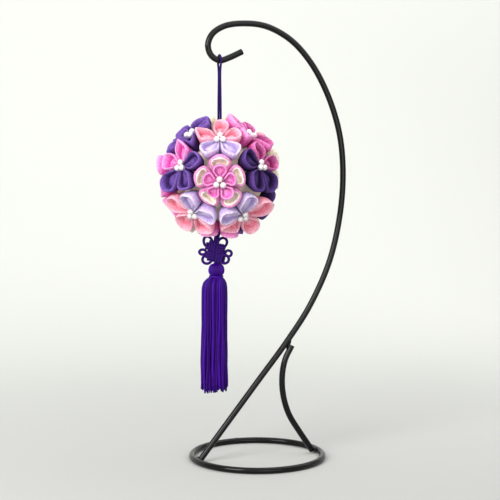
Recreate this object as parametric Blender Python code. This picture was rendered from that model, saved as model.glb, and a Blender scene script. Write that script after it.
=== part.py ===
"""A ball of folded cloth flowers on a wire stand, with its cord, ornamental knot and tassel.

Sizes are in millimetres and are made metres when a mesh is written. +Z is up. The stand's arm lies
in the XZ plane, the ring rests on the ground, and the origin is the middle of the footprint.
"""
import math
from collections import namedtuple

import bmesh
import bpy
from mathutils import Vector

MM = 0.001
GAP = 0.3                       # air between two pieces that touch

# The stand is bent from one gauge of rod.
ROD = 4.0
RING_DIAMETER = 90.0
RING_STEPS = 40
ROD_SIDES = 8
ROD_STEP = 8.0                  # length of rod between two sections, on a curve
ARM_ROUTE = (                   # x, z
    (-39.2, 1.8), (-19.3, 26.7), (0.7, 51.6), (20.6, 76.4), (36.5, 99.1), (50.1, 127.2),
    (57.4, 155.7), (60.0, 184.2), (57.6, 211.8), (49.0, 238.1), (37.0, 259.0), (23.0, 273.5),
    (6.0, 282.0), (-9.9, 283.5), (-22.6, 281.5), (-30.6, 276.3), (-33.4, 269.0), (-31.1, 262.8),
    (-25.6, 259.8), (-19.8, 261.4), (-10.5, 265.6),
)
BRACE_ROUTE = (                 # x, z
    (24.2, 73.7), (19.4, 64.3), (17.4, 53.5), (18.1, 41.2), (22.1, 27.9), (29.9, 15.2), (39.0, 1.9),
)

# The ball hangs under the hook and is turned to face a little left of the stand's front.
BALL = Vector((-26.0, 0.0, 185.2))
FACING = math.radians(-107.85)
CORE_RADIUS = 28.4
PETAL_SEAT = CORE_RADIUS + GAP + 0.4
PLAN_RADIUS = 35.0              # petals have their true plan size at this distance from the centre

# A petal is a cup of folded cloth, built of turns around it, from its seat on the core up over the
# rolled rim and down to the floor. An outline says how far from the flower's middle the turn
# starts, is widest and ends, and its lifts off the seat at those three places. A row is set in from
# the petal's guide outline by a length, but by no more than a share of the way to the spine. The
# slope says how much further in it is at the tip than at the flanks, as a share of that length.
Outline = namedtuple("Outline", "inner middle tip lift_inner lift_middle lift_tip")
Row = namedtuple("Row", "inset share lift_inner lift_middle lift_tip")
Petal = namedtuple("Petal", "guide turns seat heart slope")  # seat and heart: distance out, lift
PETALS = 5
WEDGE = math.pi / PETALS
BASE = Outline(1.2, 9.6, 15.8, 0.0, 0.0, 0.0)
BELLY = Outline(1.2, 11.4, 18.7, 2.4, 4.6, 5.4)
SINGLE_PETAL = Petal(BELLY, (
    BASE, BELLY,
    Row(0.45, 0.2, 3.8, 7.8, 8.4), Row(1.3, 0.38, 4.8, 9.5, 10.0),
    Row(2.2, 0.54, 4.7, 8.9, 9.4), Row(2.7, 0.64, 4.0, 5.6, 6.0),
), (8.8, 0.0), (8.8, 5.6), 0.7)
FRONT_BELLY = Outline(1.2, 11.4, 18.5, 2.6, 4.4, 5.2)
OUTER_PETAL = Petal(FRONT_BELLY, (
    BASE, FRONT_BELLY,
    Row(0.7, 0.18, 3.3, 7.0, 7.6), Row(2.2, 0.38, 3.7, 8.6, 9.3), Row(2.6, 0.45, 2.2, 2.6, 3.4),
), (9.0, 0.0), (9.0, 2.4), 0.25)
LINING_CUP = Petal(Outline(3.6, 11.4, 18.5, 2.6, 4.4, 5.2), (
    Row(3.1, 0.6, 2.6, 3.0, 3.8), Row(2.75, 0.56, 3.4, 7.4, 8.6),
    Row(3.4, 0.66, 3.8, 8.4, 9.5), Row(4.1, 0.76, 3.4, 5.0, 5.6),
), (9.2, 2.9), (9.4, 5.4), 0.25)
INNER_BELLY = Outline(0.9, 5.9, 9.8, 8.4, 9.4, 10.0)
INNER_PETAL = Petal(INNER_BELLY, (
    Outline(0.9, 4.6, 7.2, 4.2, 5.0, 6.2), INNER_BELLY,
    Row(0.35, 0.15, 10.0, 11.4, 11.9), Row(0.9, 0.34, 10.6, 12.3, 12.9), Row(1.7, 0.62, 9.9, 10.4, 10.6),
), (4.1, 5.0), (4.6, 10.4), 0.0)
SQUARENESS = 2.3                # 2 is an ellipse, more is squarer
SPINE_LEAD = 1.5                # cloth at the edge folds in to this much further along the spine
ROUND_END = 0.3                 # share of a petal's length that its round end keeps, at least
CLOTH_CREASE = 80.0             # soft cloth looks smooth over folds up to this, in degrees
FLANK_COLUMNS = (0.0, 1.0)
ARC_COLUMNS = (60.0, 30.0, 0.0)

# Latitude and longitude on the ball (longitude 0 faces forward, and grows to the right), the
# bearing of the middle of the pair of petals, clockwise from up, the size, and the cloth of the
# pair and of the other three.
Flower = namedtuple("Flower", "name latitude longitude bearing size pair trio")
FRONT = Flower("front", -2.5, 0.5, -36.0, 1.0, "rose", "rose")
SINGLES = (
    Flower("top", 47.0, 1.0, 180.0, 1.06, "lavender", "coral"),
    Flower("upper_left", 13.5, -46.0, -37.0, 1.06, "hot_pink", "purple"),
    Flower("upper_right", 13.5, 51.5, 40.0, 1.06, "mauve", "dark_purple"),
    Flower("lower_left", -39.5, -39.5, 55.0, 1.06, "lavender", "coral"),
    Flower("lower_right", -43.0, 36.5, -50.0, 1.06, "lavender", "coral"),
    Flower("crown_left", 52.5, -60.0, -130.0, 1.04, "purple", "purple"),
    Flower("crown_right", 51.5, 70.0, -53.0, 1.04, "pink", "mauve"),
    Flower("crown_back", 54.0, 180.0, 0.0, 1.04, "cream", "pink"),
    Flower("rear_left", 40.0, -121.0, -60.0, 1.06, "hot_pink", "purple"),
    Flower("rear_right", 41.0, 127.0, 30.0, 1.06, "mauve", "coral"),
    Flower("side_left", 1.0, -99.0, 90.0, 1.04, "hot_pink", "lavender"),
    Flower("side_right", 9.0, 105.0, -90.0, 1.04, "cream", "coral"),
    Flower("back_left", 0.0, -146.0, 100.0, 1.06, "lavender", "coral"),
    Flower("back_right", 4.0, 157.0, -20.0, 1.06, "hot_pink", "purple"),
    Flower("base_left", -42.0, -109.0, 54.0, 1.02, "pink", "cream"),
    Flower("base_right", -38.0, 107.0, -54.0, 1.02, "dark_purple", "cream"),
    Flower("base_back", -43.0, 178.0, 36.0, 1.02, "mauve", "dark_purple"),
    Flower("under", -90.0, 0.0, 0.0, 0.96, "pink", "purple"),
)
PETAL_HUB = 10.4                # the point of a petal that its room is shared out from
FRONT_EXTRA = math.radians(1.4)  # the double flower takes this much more than half of each share
NEAR = math.radians(52.0)
SOFT_EDGE = 0.05                # petals start to give this far from a neighbour, in radians
PARTING = 0.16 / CORE_RADIUS
UNDER_EYE = 3.6                 # the under flower opens this wide for the knot's cord

# Two turns of one cord hang side by side. Half of the loop, from the ball up to the hook: height,
# distance from the loop's own axis, and how far it has turned from lying side by side.
CORD = 1.4
CORD_AXIS = (-25.7, 0.0)
CORD_ROUTE = (
    (214.0, 0.85, 0.0), (217.5, 0.85, 1.0), (222.0, 0.85, 6.0), (228.0, 0.85, 14.0),
    (234.0, 0.85, 24.0), (240.0, 0.85, 36.0), (246.0, 0.86, 48.0), (250.7, 0.95, 58.0),
    (254.6, 1.5, 66.0), (257.5, 2.75, 71.0), (259.9, 3.25, 72.15), (262.2, 2.3, 72.15),
)
CORD_TOP = 263.2
CORD_STEP = 3.6

# The knot and tassel hang a little left of the ball's middle. Right and up are measured from the
# knot's middle, in the plane that the ball faces.
KNOT_RIGHT = -2.6
KNOT_HEIGHT = 136.6
KNOT_CORD = 1.8
KNOT_SIDES = 6
Loop = namedtuple("Loop", "right up wide tall lean layer")
LOOPS = (
    Loop(-4.7, 7.2, 2.7, 3.6, 20.0, 0.5),
    Loop(4.6, 6.6, 2.8, 3.2, -35.0, -0.5),
    Loop(-8.2, 0.6, 2.2, 1.6, 0.0, 0.3),
    Loop(8.4, -0.4, 2.1, 1.9, 0.0, -0.3),
    Loop(-5.4, -4.2, 3.0, 2.8, 30.0, -0.5),
    Loop(5.8, -4.0, 2.9, 2.8, -30.0, 0.5),
)
Patch = namedtuple("Patch", "right up length lean")
PATCHES = (
    Patch(-2.3, 3.9, 6.6, -12.0), Patch(2.7, 2.4, 6.0, 78.0),
    Patch(-2.6, -1.7, 6.2, 78.0), Patch(2.3, -3.2, 6.8, -12.0),
)
PATCH_SECTION = (               # three cords side by side: across, outward
    (-2.55, -1.3), (2.55, -1.3), (2.6, 0.2), (2.1, 0.85), (1.2, 0.85), (0.8, 0.4), (0.4, 0.9),
    (-0.4, 0.9), (-0.8, 0.4), (-1.2, 0.85), (-2.1, 0.85), (-2.6, 0.2),
)
PATCH_RINGS = ((-0.5, 0.55), (-0.25, 0.95), (0.25, 0.95), (0.5, 0.55))  # share of length, outward
STEM = ((-0.4, 156.4), (-0.8, 150.5), (-1.8, 146.0), (-2.6, 138.0))  # right, up

PLUMB = ((129.8, -1.9), (122.0, -2.0), (116.0, -3.2), (48.0, -3.6))  # up, right of the tassel's middle
HEAD_PROFILE = (                # radius, height, from the head's top down to the shoulders' rim
    (1.4, 129.8), (3.6, 129.1), (5.0, 127.4), (5.3, 125.6), (4.9, 123.7), (3.7, 122.2),
    (4.2, 121.6), (4.1, 120.8), (5.2, 119.9), (6.3, 118.2), (7.1, 116.0), (7.2, 113.6),
)
HEAD_RIBS = 18
SKIRT_END = 48.5
SKIRT_RINGS = ((7.4, 30), (4.9, 12), (2.2, 4))  # radius, strands
SKIRT_FLARE = 0.7
STRAND_ROUTE = (                # height, share of the ring's radius, share of the strand's width
    (118.9, 0.76, 0.66), (116.2, 0.98, 0.95),
)
STRAND = 1.25

LOOKS = {                       # colour, roughness, metallic
    "black_paint": ((0.012, 0.012, 0.013, 1.0), 0.45, 0.0),
    "core_cloth": ((0.72, 0.64, 0.50, 1.0), 0.9, 0.0),
    "rose": ((0.82, 0.30, 0.55, 1.0), 0.85, 0.0),
    "magenta": ((0.72, 0.05, 0.36, 1.0), 0.85, 0.0),
    "cream": ((0.86, 0.78, 0.60, 1.0), 0.9, 0.0),
    "coral": ((0.95, 0.34, 0.42, 1.0), 0.85, 0.0),
    "lavender": ((0.58, 0.48, 0.82, 1.0), 0.85, 0.0),
    "hot_pink": ((0.90, 0.22, 0.60, 1.0), 0.85, 0.0),
    "pink": ((0.80, 0.32, 0.62, 1.0), 0.85, 0.0),
    "mauve": ((0.50, 0.10, 0.30, 1.0), 0.85, 0.0),
    "purple": ((0.15, 0.07, 0.34, 1.0), 0.85, 0.0),
    "dark_purple": ((0.05, 0.02, 0.14, 1.0), 0.85, 0.0),
    "violet_cord": ((0.03, 0.005, 0.09, 1.0), 0.7, 0.0),
    "violet_silk": ((0.08, 0.006, 0.32, 1.0), 0.5, 0.0),
}


def look(name):
    """The material of that name, made the first time it is asked for."""
    found = bpy.data.materials.get(name)
    if found:
        return found
    colour, roughness, metallic = LOOKS[name]
    made = bpy.data.materials.new(name)
    made.use_nodes = True
    shader = made.node_tree.nodes["Principled BSDF"]
    shader.inputs["Base Color"].default_value = colour
    shader.inputs["Roughness"].default_value = roughness
    shader.inputs["Metallic"].default_value = metallic
    return made


def piece(name, points, faces, finish, seams=0.0, crease=40.0):
    """One closed object from points in millimetres; seams welds points closer than that."""
    mesh = bpy.data.meshes.new(name)
    mesh.from_pydata([tuple(Vector(p) * MM) for p in points], [], faces)
    work = bmesh.new()
    work.from_mesh(mesh)
    if seams:
        bmesh.ops.remove_doubles(work, verts=work.verts, dist=seams * MM)
        loose = [v for v in work.verts if not v.link_faces]
        bmesh.ops.delete(work, geom=loose, context="VERTS")
    bmesh.ops.recalc_face_normals(work, faces=work.faces)
    bmesh.ops.triangulate(work, faces=work.faces)
    work.to_mesh(mesh)
    work.free()
    mesh.shade_smooth()
    mesh.set_sharp_from_angle(angle=math.radians(crease))
    made = bpy.data.objects.new(name, mesh)
    made.data.materials.append(look(finish))
    bpy.context.scene.collection.objects.link(made)
    return made


def fuse(name, shapes, finish):
    """One closed object from shapes, each (points, faces), that run into one another."""
    first = piece(name, *shapes[0], finish)
    work = bmesh.new()
    for points, faces in shapes[1:]:
        shape = piece("part_of_" + name, points, faces, finish)
        work.from_mesh(shape.data)
        bpy.data.objects.remove(shape)
    rest = bpy.data.meshes.new("rest_of_" + name)
    work.to_mesh(rest)
    work.free()
    others = bpy.data.objects.new("rest_of_" + name, rest)
    bpy.context.scene.collection.objects.link(others)
    join = first.modifiers.new("join", "BOOLEAN")
    join.operation = "UNION"
    join.use_self = True
    join.object = others
    bpy.context.view_layer.update()
    seen = first.evaluated_get(bpy.context.evaluated_depsgraph_get())
    fused = bpy.data.meshes.new_from_object(seen)
    first.modifiers.clear()
    first.data = fused
    bpy.data.objects.remove(others)
    return first


def smooth_route(corners, step):
    """Points about one step apart on a smooth curve through the corners."""
    corners = [Vector(c) for c in corners]
    ends = [2 * corners[0] - corners[1], 2 * corners[-1] - corners[-2]]
    row = [ends[0], *corners, ends[1]]
    route = [corners[0]]
    for before, here, there, after in zip(row, row[1:], row[2:], row[3:]):
        spans = [max((b - a).length, 1e-6) ** 0.5 for a, b in ((before, here), (here, there), (there, after))]
        leave = spans[1] * ((here - before) / spans[0] - (there - before) / (spans[0] + spans[1])
                            + (there - here) / spans[1])
        arrive = spans[1] * ((there - here) / spans[1] - (after - here) / (spans[1] + spans[2])
                             + (after - there) / spans[2])
        parts = max(1, round((there - here).length / step))
        for part in range(1, parts + 1):
            t = part / parts
            route.append(here * (2 * t ** 3 - 3 * t ** 2 + 1) + leave * (t ** 3 - 2 * t ** 2 + t)
                         + there * (3 * t ** 2 - 2 * t ** 3) + arrive * (t ** 3 - t ** 2))
    return route


def sweep(route, radii, sides, across, closed=False, roll=0.0):
    """Points and faces of a rod along a route; across is a direction that it never follows."""
    points = []
    faces = []
    count = len(route)
    for i, (at, radius) in enumerate(zip(route, radii)):
        before = route[i - 1] if (i or closed) else at
        after = route[(i + 1) % count] if (i + 1 < count or closed) else at
        along = (after - before).normalized()
        out = along.cross(across).normalized()
        up = out.cross(along)
        for s in range(sides):
            turn = 2 * math.pi * (s + 0.5) / sides + roll
            points.append(at + (out * math.cos(turn) + up * math.sin(turn)) * radius)
    for i in range(count if closed else count - 1):
        j = (i + 1) % count
        for s in range(sides):
            t = (s + 1) % sides
            faces.append((i * sides + s, i * sides + t, j * sides + t, j * sides + s))
    if not closed:
        faces.append(tuple(range(sides)))
        faces.append(tuple((count - 1) * sides + s for s in range(sides)))
    return points, faces


# Stand

def flat_sided(radius):
    """The corner radius that gives a many-sided rod its full thickness across the flats."""
    return radius / math.cos(math.pi / ROD_SIDES)


def ring():
    middle = (RING_DIAMETER - ROD) / 2
    route = [Vector((middle * math.cos(turn), middle * math.sin(turn), ROD / 2))
             for turn in (2 * math.pi * i / RING_STEPS for i in range(RING_STEPS))]
    points, faces = sweep(route, [flat_sided(ROD / 2)] * RING_STEPS, ROD_SIDES, Vector((0, 0, 1)), closed=True)
    return piece("stand_ring", points, faces, "black_paint")


def rod(name, corners):
    route = smooth_route([(x, 0.0, z) for x, z in corners], ROD_STEP)
    points, faces = sweep(route, [flat_sided(ROD / 2)] * len(route), ROD_SIDES, Vector((0, 1, 0)))
    return piece(name, points, faces, "black_paint")


# Ball

def ball_frame():
    """Forward and right on the ball, both level."""
    forward = Vector((math.cos(FACING), math.sin(FACING), 0.0))
    return forward, Vector((-forward.y, forward.x, 0.0))


def compass(flower):
    """The flower's axis on the ball, and its own up and right."""
    forward, right = ball_frame()
    lat, lon = math.radians(flower.latitude), math.radians(flower.longitude)
    level = forward * math.cos(lon) + right * math.sin(lon)
    axis = level * math.cos(lat) + Vector((0, 0, math.sin(lat)))
    north = Vector((0, 0, math.cos(lat))) - level * math.sin(lat)
    east = right * math.cos(lon) - forward * math.sin(lon)
    return axis, north, east


def plain_direction(flower, bearing, x, y):
    """Where a point of a petal, x along it and y across it, would lie if nothing pressed it."""
    axis, north, east = compass(flower)
    away = math.hypot(x, y) * flower.size / PLAN_RADIUS
    turn = math.radians(bearing) + math.atan2(y, x)
    return axis * math.cos(away) + (north * math.cos(turn) + east * math.sin(turn)) * math.sin(away)


def petal_bearing(flower, number):
    return flower.bearing + (number - 0.5) * 360 / PETALS


def petal_walls(flower, number):
    """Normals of the planes, through the ball's middle, that part a petal from other flowers'."""
    here = plain_direction(flower, petal_bearing(flower, number), PETAL_HUB, 0.0)
    walls = []
    for other in (FRONT, *SINGLES):
        if other is flower:
            continue
        for their_number in range(PETALS):
            there = plain_direction(other, petal_bearing(other, their_number), PETAL_HUB, 0.0)
            angle = here.angle(there)
            if angle > NEAR:
                continue
            share = angle / 2 + FRONT_EXTRA * ((flower is FRONT) - (other is FRONT))
            towards = (there - here * math.cos(angle)) / math.sin(angle)
            walls.append(towards * math.cos(share) - here * math.sin(share))
    return walls


def pressed(direction, walls):
    """Where cloth bound in that direction ends up, pressed back by the flowers beside it."""
    give = SOFT_EDGE - PARTING
    for normal in walls:
        side = direction.dot(normal)
        if side > -SOFT_EDGE:
            held = -PARTING - give * math.exp(-(side + SOFT_EDGE) / give)
            direction = (direction + normal * (held - side)).normalized()
    for _ in range(3):
        for normal in walls:
            side = direction.dot(normal)
            if side > -PARTING:
                direction = (direction - normal * (side + PARTING) * 1.001).normalized()
    return direction


def outline_turn(outline, fused, eye):
    """An outline from the inner left corner by the tip to the right: x, y, and the shares that its
    inner, middle and tip lifts have there."""
    def half_turn(side):
        sign = -1 if side == 0 else 1
        parting = 0 if fused[side] else GAP / 2 / math.cos(WEDGE)
        inner = outline.inner + eye
        half = outline.middle * math.tan(WEDGE) - parting
        row = []
        for part in FLANK_COLUMNS:
            x = inner + part * (outline.middle - inner)
            row.append((x, sign * (x * math.tan(WEDGE) - parting), (1 - part, part, 0.0)))
        for degrees in ARC_COLUMNS[:-1]:
            along = math.cos(math.radians(degrees))
            over = math.sin(math.radians(degrees))
            x = outline.middle + (outline.tip - outline.middle) * along ** (2 / SQUARENESS)
            row.append((x, sign * half * over ** (2 / SQUARENESS), (0.0, 1 - along, along)))
        return row

    return [*half_turn(0), (outline.tip, 0.0, (0.0, 0.0, 1.0)), *reversed(half_turn(1))]


def plan_angle(length, flower):
    """The angle at the ball's centre of a length in a flower's plan."""
    return length * flower.size / PLAN_RADIUS


def fold_in(edge, spine, row, steeper, flower):
    """Where a row runs between a point of the petal's edge and the spine."""
    part = min(plan_angle(row.inset * steeper, flower) / max(edge.angle(spine), 1e-6), row.share)
    return edge.lerp(spine, part).normalized()


def petal_group(name, flower, petal, numbers, cloth, eye=0.0):
    """Neighbouring petals of one cloth, which share their seams, as one solid."""
    walls = [petal_walls(flower, number) for number in range(PETALS)]
    axis = compass(flower)[0]
    points = []
    faces = []
    columns = 2 * (len(FLANK_COLUMNS) + len(ARC_COLUMNS)) - 1
    seam_columns = (len(FLANK_COLUMNS) - 1, columns - len(FLANK_COLUMNS))
    for number in numbers:
        bearing = petal_bearing(flower, number)
        before, after = (number - 1) % PETALS, (number + 1) % PETALS
        fused = (before in numbers, after in numbers)
        pressing = [walls[number]] * columns
        for c in range(seam_columns[0] + 1):
            pressing[c] = walls[before] + walls[number]
            pressing[-1 - c] = walls[number] + walls[after]

        def laid_edge(outline):
            turn = outline_turn(outline, fused, eye)
            return [pressed(plain_direction(flower, bearing, x, y), near) for (x, y, _), near in zip(turn, pressing)]

        turn = outline_turn(petal.guide, fused, eye)
        edge = laid_edge(petal.guide)
        length = axis.angle(edge[columns // 2]) / plan_angle(1, flower)
        middle = min(petal.guide.middle, length * (1 - ROUND_END))
        spine = [pressed(plain_direction(flower, bearing, min(SPINE_LEAD * x, middle), 0.0), walls[number])
                 for x, _, _ in turn]
        start = len(points)
        for level in petal.turns:
            if isinstance(level, Outline):
                directions = laid_edge(level)
            else:
                directions = [fold_in(e, s, level, 1 + petal.slope * shares[2], flower)
                              for e, s, (_, _, shares) in zip(edge, spine, turn)]
            for direction, (_, _, shares) in zip(directions, turn):
                lift = Vector(shares).dot(Vector((level.lift_inner, level.lift_middle, level.lift_tip)))
                points.append(BALL + direction * (PETAL_SEAT + lift * flower.size))
        for out, lift in (petal.seat, petal.heart):
            direction = pressed(plain_direction(flower, bearing, min(out, middle), 0.0), walls[number])
            points.append(BALL + direction * (PETAL_SEAT + lift * flower.size))
        under, over = len(points) - 2, len(points) - 1
        for low, (level, above) in enumerate(zip(petal.turns, petal.turns[1:])):
            shares_seam = isinstance(level, Outline) and isinstance(above, Outline)
            for c in range(columns):
                d = (c + 1) % columns
                left = shares_seam and fused[0] and c < seam_columns[0]
                right = shares_seam and fused[1] and seam_columns[1] <= c < columns - 1
                if left or right:
                    continue
                a = start + low * columns
                b = a + columns
                faces.append((a + c, a + d, b + d, b + c))
        top = start + (len(petal.turns) - 1) * columns
        for c in range(columns):
            d = (c + 1) % columns
            faces.append((start + d, start + c, under))
            faces.append((top + c, top + d, over))
    return piece(name, points, faces, cloth, seams=0.01, crease=CLOTH_CREASE)


def single_flower(flower):
    eye = UNDER_EYE - BASE.inner if flower.name == "under" else 0.0
    for group, numbers, cloth in (("pair", (0, 1), flower.pair), ("trio", (2, 3, 4), flower.trio)):
        petal_group(f"flower_{flower.name}_{group}", flower, SINGLE_PETAL, numbers, cloth, eye)


def double_flower():
    """The front flower: five lined petals and five small ones over their middle."""
    every = tuple(range(PETALS))
    petal_group("front_outer", FRONT, OUTER_PETAL, every, "rose")
    for number in every:
        petal_group(f"front_lining_{number + 1}", FRONT, LINING_CUP, (number,), "cream")
    petal_group("front_inner", FRONT, INNER_PETAL, every, "magenta")


def core():
    bpy.ops.mesh.primitive_ico_sphere_add(subdivisions=3, radius=CORE_RADIUS * MM, location=BALL * MM)
    ball = bpy.context.object
    ball.name = "ball_core"
    ball.data.materials.append(look("core_cloth"))
    ball.data.shade_smooth()


# Cord

def cord_loop():
    """The hanging loop: up one side, over the hook and down the other."""
    def strand(sign):
        row = []
        for height, spread, turned in CORD_ROUTE:
            turn = FACING + math.pi / 2 - math.radians(turned)
            row.append((CORD_AXIS[0] + sign * spread * math.cos(turn),
                        CORD_AXIS[1] + sign * spread * math.sin(turn), height))
        return row

    corners = [*strand(1), (*CORD_AXIS, CORD_TOP), *reversed(strand(-1))]
    curve = bpy.data.curves.new("hanging_cord", "CURVE")
    curve.dimensions = "3D"
    curve.bevel_depth = CORD / 2 * MM
    curve.bevel_resolution = 2
    curve.use_fill_caps = True
    route = smooth_route(corners, CORD_STEP)
    spline = curve.splines.new("POLY")
    spline.points.add(len(route) - 1)
    for point, at in zip(spline.points, route):
        point.co = (*(at * MM), 1.0)
    curve.materials.append(look("violet_cord"))
    made = bpy.data.objects.new("hanging_cord", curve)
    bpy.context.scene.collection.objects.link(made)


# Knot

def hung(right, up, towards):
    """A point beside the line that the knot and tassel hang on."""
    forward, sideways = ball_frame()
    level = BALL + sideways * right + forward * towards
    return Vector((level.x, level.y, up))


def knot_loop(loop):
    """The closed route of one loop of the knot."""
    lean = math.radians(loop.lean)
    steps = 10 if loop.tall > 2.0 else 8
    corners = []
    for i in range(steps):
        turn = 2 * math.pi * i / steps
        x = loop.wide * math.cos(turn)
        y = loop.tall * math.sin(turn)
        corners.append(hung(KNOT_RIGHT + loop.right + x * math.cos(lean) - y * math.sin(lean),
                            KNOT_HEIGHT + loop.up + x * math.sin(lean) + y * math.cos(lean),
                            loop.layer))
    return corners


def knot_patch(patch, side):
    """A patch of the woven middle: cords side by side that dip under their neighbours."""
    turned = patch.lean if side > 0 else patch.lean + 90
    lean = math.radians(turned)
    count = len(PATCH_SECTION)
    points = []
    for part, outward in PATCH_RINGS:
        for across, out in PATCH_SECTION:
            right = patch.right - math.sin(lean) * part * patch.length + math.cos(lean) * across
            up = patch.up + math.cos(lean) * part * patch.length + math.sin(lean) * across
            points.append(hung(KNOT_RIGHT + right, KNOT_HEIGHT + up, side * (outward + out)))
    faces = [tuple(range(count)), tuple(range(len(points) - count, len(points)))]
    for low in range(0, len(points) - count, count):
        for s in range(count):
            t = (s + 1) % count
            faces.append((low + s, low + t, low + count + t, low + count + s))
    return points, faces


def knot():
    """All the runs, patches and loops of the knot's cord, fused where they cross."""
    forward = ball_frame()[0]
    beside = KNOT_CORD * 0.47
    shapes = []
    for side in (-beside, beside):
        stem = [hung(right + side, up, 0.0) for right, up in STEM]
        tail = [hung(PLUMB[0][1] + side, up, 0.0) for up in (KNOT_HEIGHT - 2.0, HEAD_PROFILE[0][1] + GAP)]
        for route in (stem, tail):
            shapes.append(sweep(route, [KNOT_CORD / 2] * len(route), KNOT_SIDES, forward, roll=side * 0.3))
    for loop in LOOPS:
        route = knot_loop(loop)
        roll = 0.1 * loop.right
        shapes.append(sweep(route, [KNOT_CORD / 2] * len(route), KNOT_SIDES, forward, closed=True, roll=roll))
    for side in (1, -1):
        for patch in PATCHES:
            shapes.append(knot_patch(patch, side))
    fuse("knot", shapes, "violet_cord")


# Tassel

def plumb(up):
    """How far right the tassel's middle is at that height."""
    for (high, right), (low, next_right) in zip(PLUMB, PLUMB[1:]):
        if up >= low:
            return right + (next_right - right) * (high - up) / (high - low)
    return PLUMB[-1][1]


def tassel():
    """The bound head and its shoulders, with the strands fused to them at their roots."""
    points = []
    faces = []
    rows = len(HEAD_PROFILE)
    for radius, up in HEAD_PROFILE:
        for rib in range(HEAD_RIBS):
            turn = 2 * math.pi * rib / HEAD_RIBS
            reach = radius * (1.0 if rib % 2 else 0.95)
            points.append(hung(plumb(up) + reach * math.sin(turn), up, reach * math.cos(turn)))
    for low in range(rows - 1):
        for rib in range(HEAD_RIBS):
            a = low * HEAD_RIBS
            b = a + HEAD_RIBS
            n = (rib + 1) % HEAD_RIBS
            faces.append((a + rib, a + n, b + n, b + rib))
    faces.append(tuple(range(HEAD_RIBS)))
    faces.append(tuple((rows - 1) * HEAD_RIBS + rib for rib in range(HEAD_RIBS)))
    shapes = [(points, faces)]
    half = STRAND / math.sqrt(2)
    for radius, count in SKIRT_RINGS:
        for i in range(count):
            turn = 2 * math.pi * (i + 0.5) / count
            end = SKIRT_END + 1.1 * (math.sin(i * 2.4 + radius) + math.sin(i * 1.1))
            route = []
            for up, share, _ in (*STRAND_ROUTE, (end, 1 + SKIRT_FLARE / radius, 1.0)):
                reach = radius * share
                route.append(hung(plumb(up) + reach * math.sin(turn), up, reach * math.cos(turn)))
            outward = hung(math.sin(turn), 0, math.cos(turn)) - hung(0, 0, 0)
            widths = [half * width for _, _, width in STRAND_ROUTE] + [half]
            shapes.append(sweep(route, widths, 4, outward))
    fuse("tassel", shapes, "violet_silk")


def centre_footprint():
    """Move everything so that the origin is the middle of its footprint."""
    bpy.context.view_layer.update()
    graph = bpy.context.evaluated_depsgraph_get()
    lows, highs = [], []
    for made in bpy.context.scene.objects:
        mesh = made.evaluated_get(graph).to_mesh()
        xs = [(made.matrix_world @ v.co).x for v in mesh.vertices]
        lows.append(min(xs))
        highs.append(max(xs))
    shift = -(min(lows) + max(highs)) / 2
    for made in bpy.context.scene.objects:
        made.location.x += shift


def build():
    for old in list(bpy.data.objects):
        bpy.data.objects.remove(old)
    ring()
    rod("stand_arm", ARM_ROUTE)
    rod("stand_brace", BRACE_ROUTE)
    core()
    double_flower()
    for flower in SINGLES:
        single_flower(flower)
    cord_loop()
    knot()
    tassel()
    centre_footprint()


build()
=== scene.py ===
"""Looks for a ball of folded cloth flowers with its knot and tassel, hung on a wire stand.

Run as a script: it loads the frame, makes each piece with its own operator, and finishes. Lengths are
in millimetres until a mesh is written, in the frame's own place and axes.
"""
import math
import random
from collections import namedtuple

import bmesh
import bpy
from bpy.props import FloatProperty, FloatVectorProperty, IntProperty, PointerProperty
from bpy.types import Operator, Panel, PropertyGroup
from mathutils import Matrix, Vector, noise


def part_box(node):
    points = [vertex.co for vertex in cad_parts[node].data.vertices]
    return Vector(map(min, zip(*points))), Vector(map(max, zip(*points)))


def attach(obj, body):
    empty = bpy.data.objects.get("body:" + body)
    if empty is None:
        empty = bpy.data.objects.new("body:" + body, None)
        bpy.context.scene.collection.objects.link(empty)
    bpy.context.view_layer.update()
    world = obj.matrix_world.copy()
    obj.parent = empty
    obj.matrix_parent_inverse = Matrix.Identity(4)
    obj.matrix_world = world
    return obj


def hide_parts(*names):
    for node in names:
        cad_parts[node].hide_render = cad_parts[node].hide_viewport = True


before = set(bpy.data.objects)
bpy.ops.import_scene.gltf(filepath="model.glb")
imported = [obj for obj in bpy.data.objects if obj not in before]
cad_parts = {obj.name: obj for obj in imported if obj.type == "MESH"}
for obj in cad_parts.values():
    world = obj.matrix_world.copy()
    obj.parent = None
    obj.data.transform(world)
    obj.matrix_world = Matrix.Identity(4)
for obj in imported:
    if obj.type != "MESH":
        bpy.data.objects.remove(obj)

bl_info = {
    "name": "Cloth flower ball",
    "version": (1, 0, 0),
    "blender": (4, 5, 0),
    "location": "3D View > Sidebar > Flower Ball",
    "description": "Makes a ball of folded cloth flowers with a knot and tassel on a wire stand",
    "category": "Add Mesh",
}

MM = 0.001
FOOT_LOW, FOOT_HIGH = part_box("stand_ring")
MIDDLE_X = (FOOT_LOW[0] + FOOT_HIGH[0]) / 2 / MM    # the ring's middle, which routes are measured from

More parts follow.
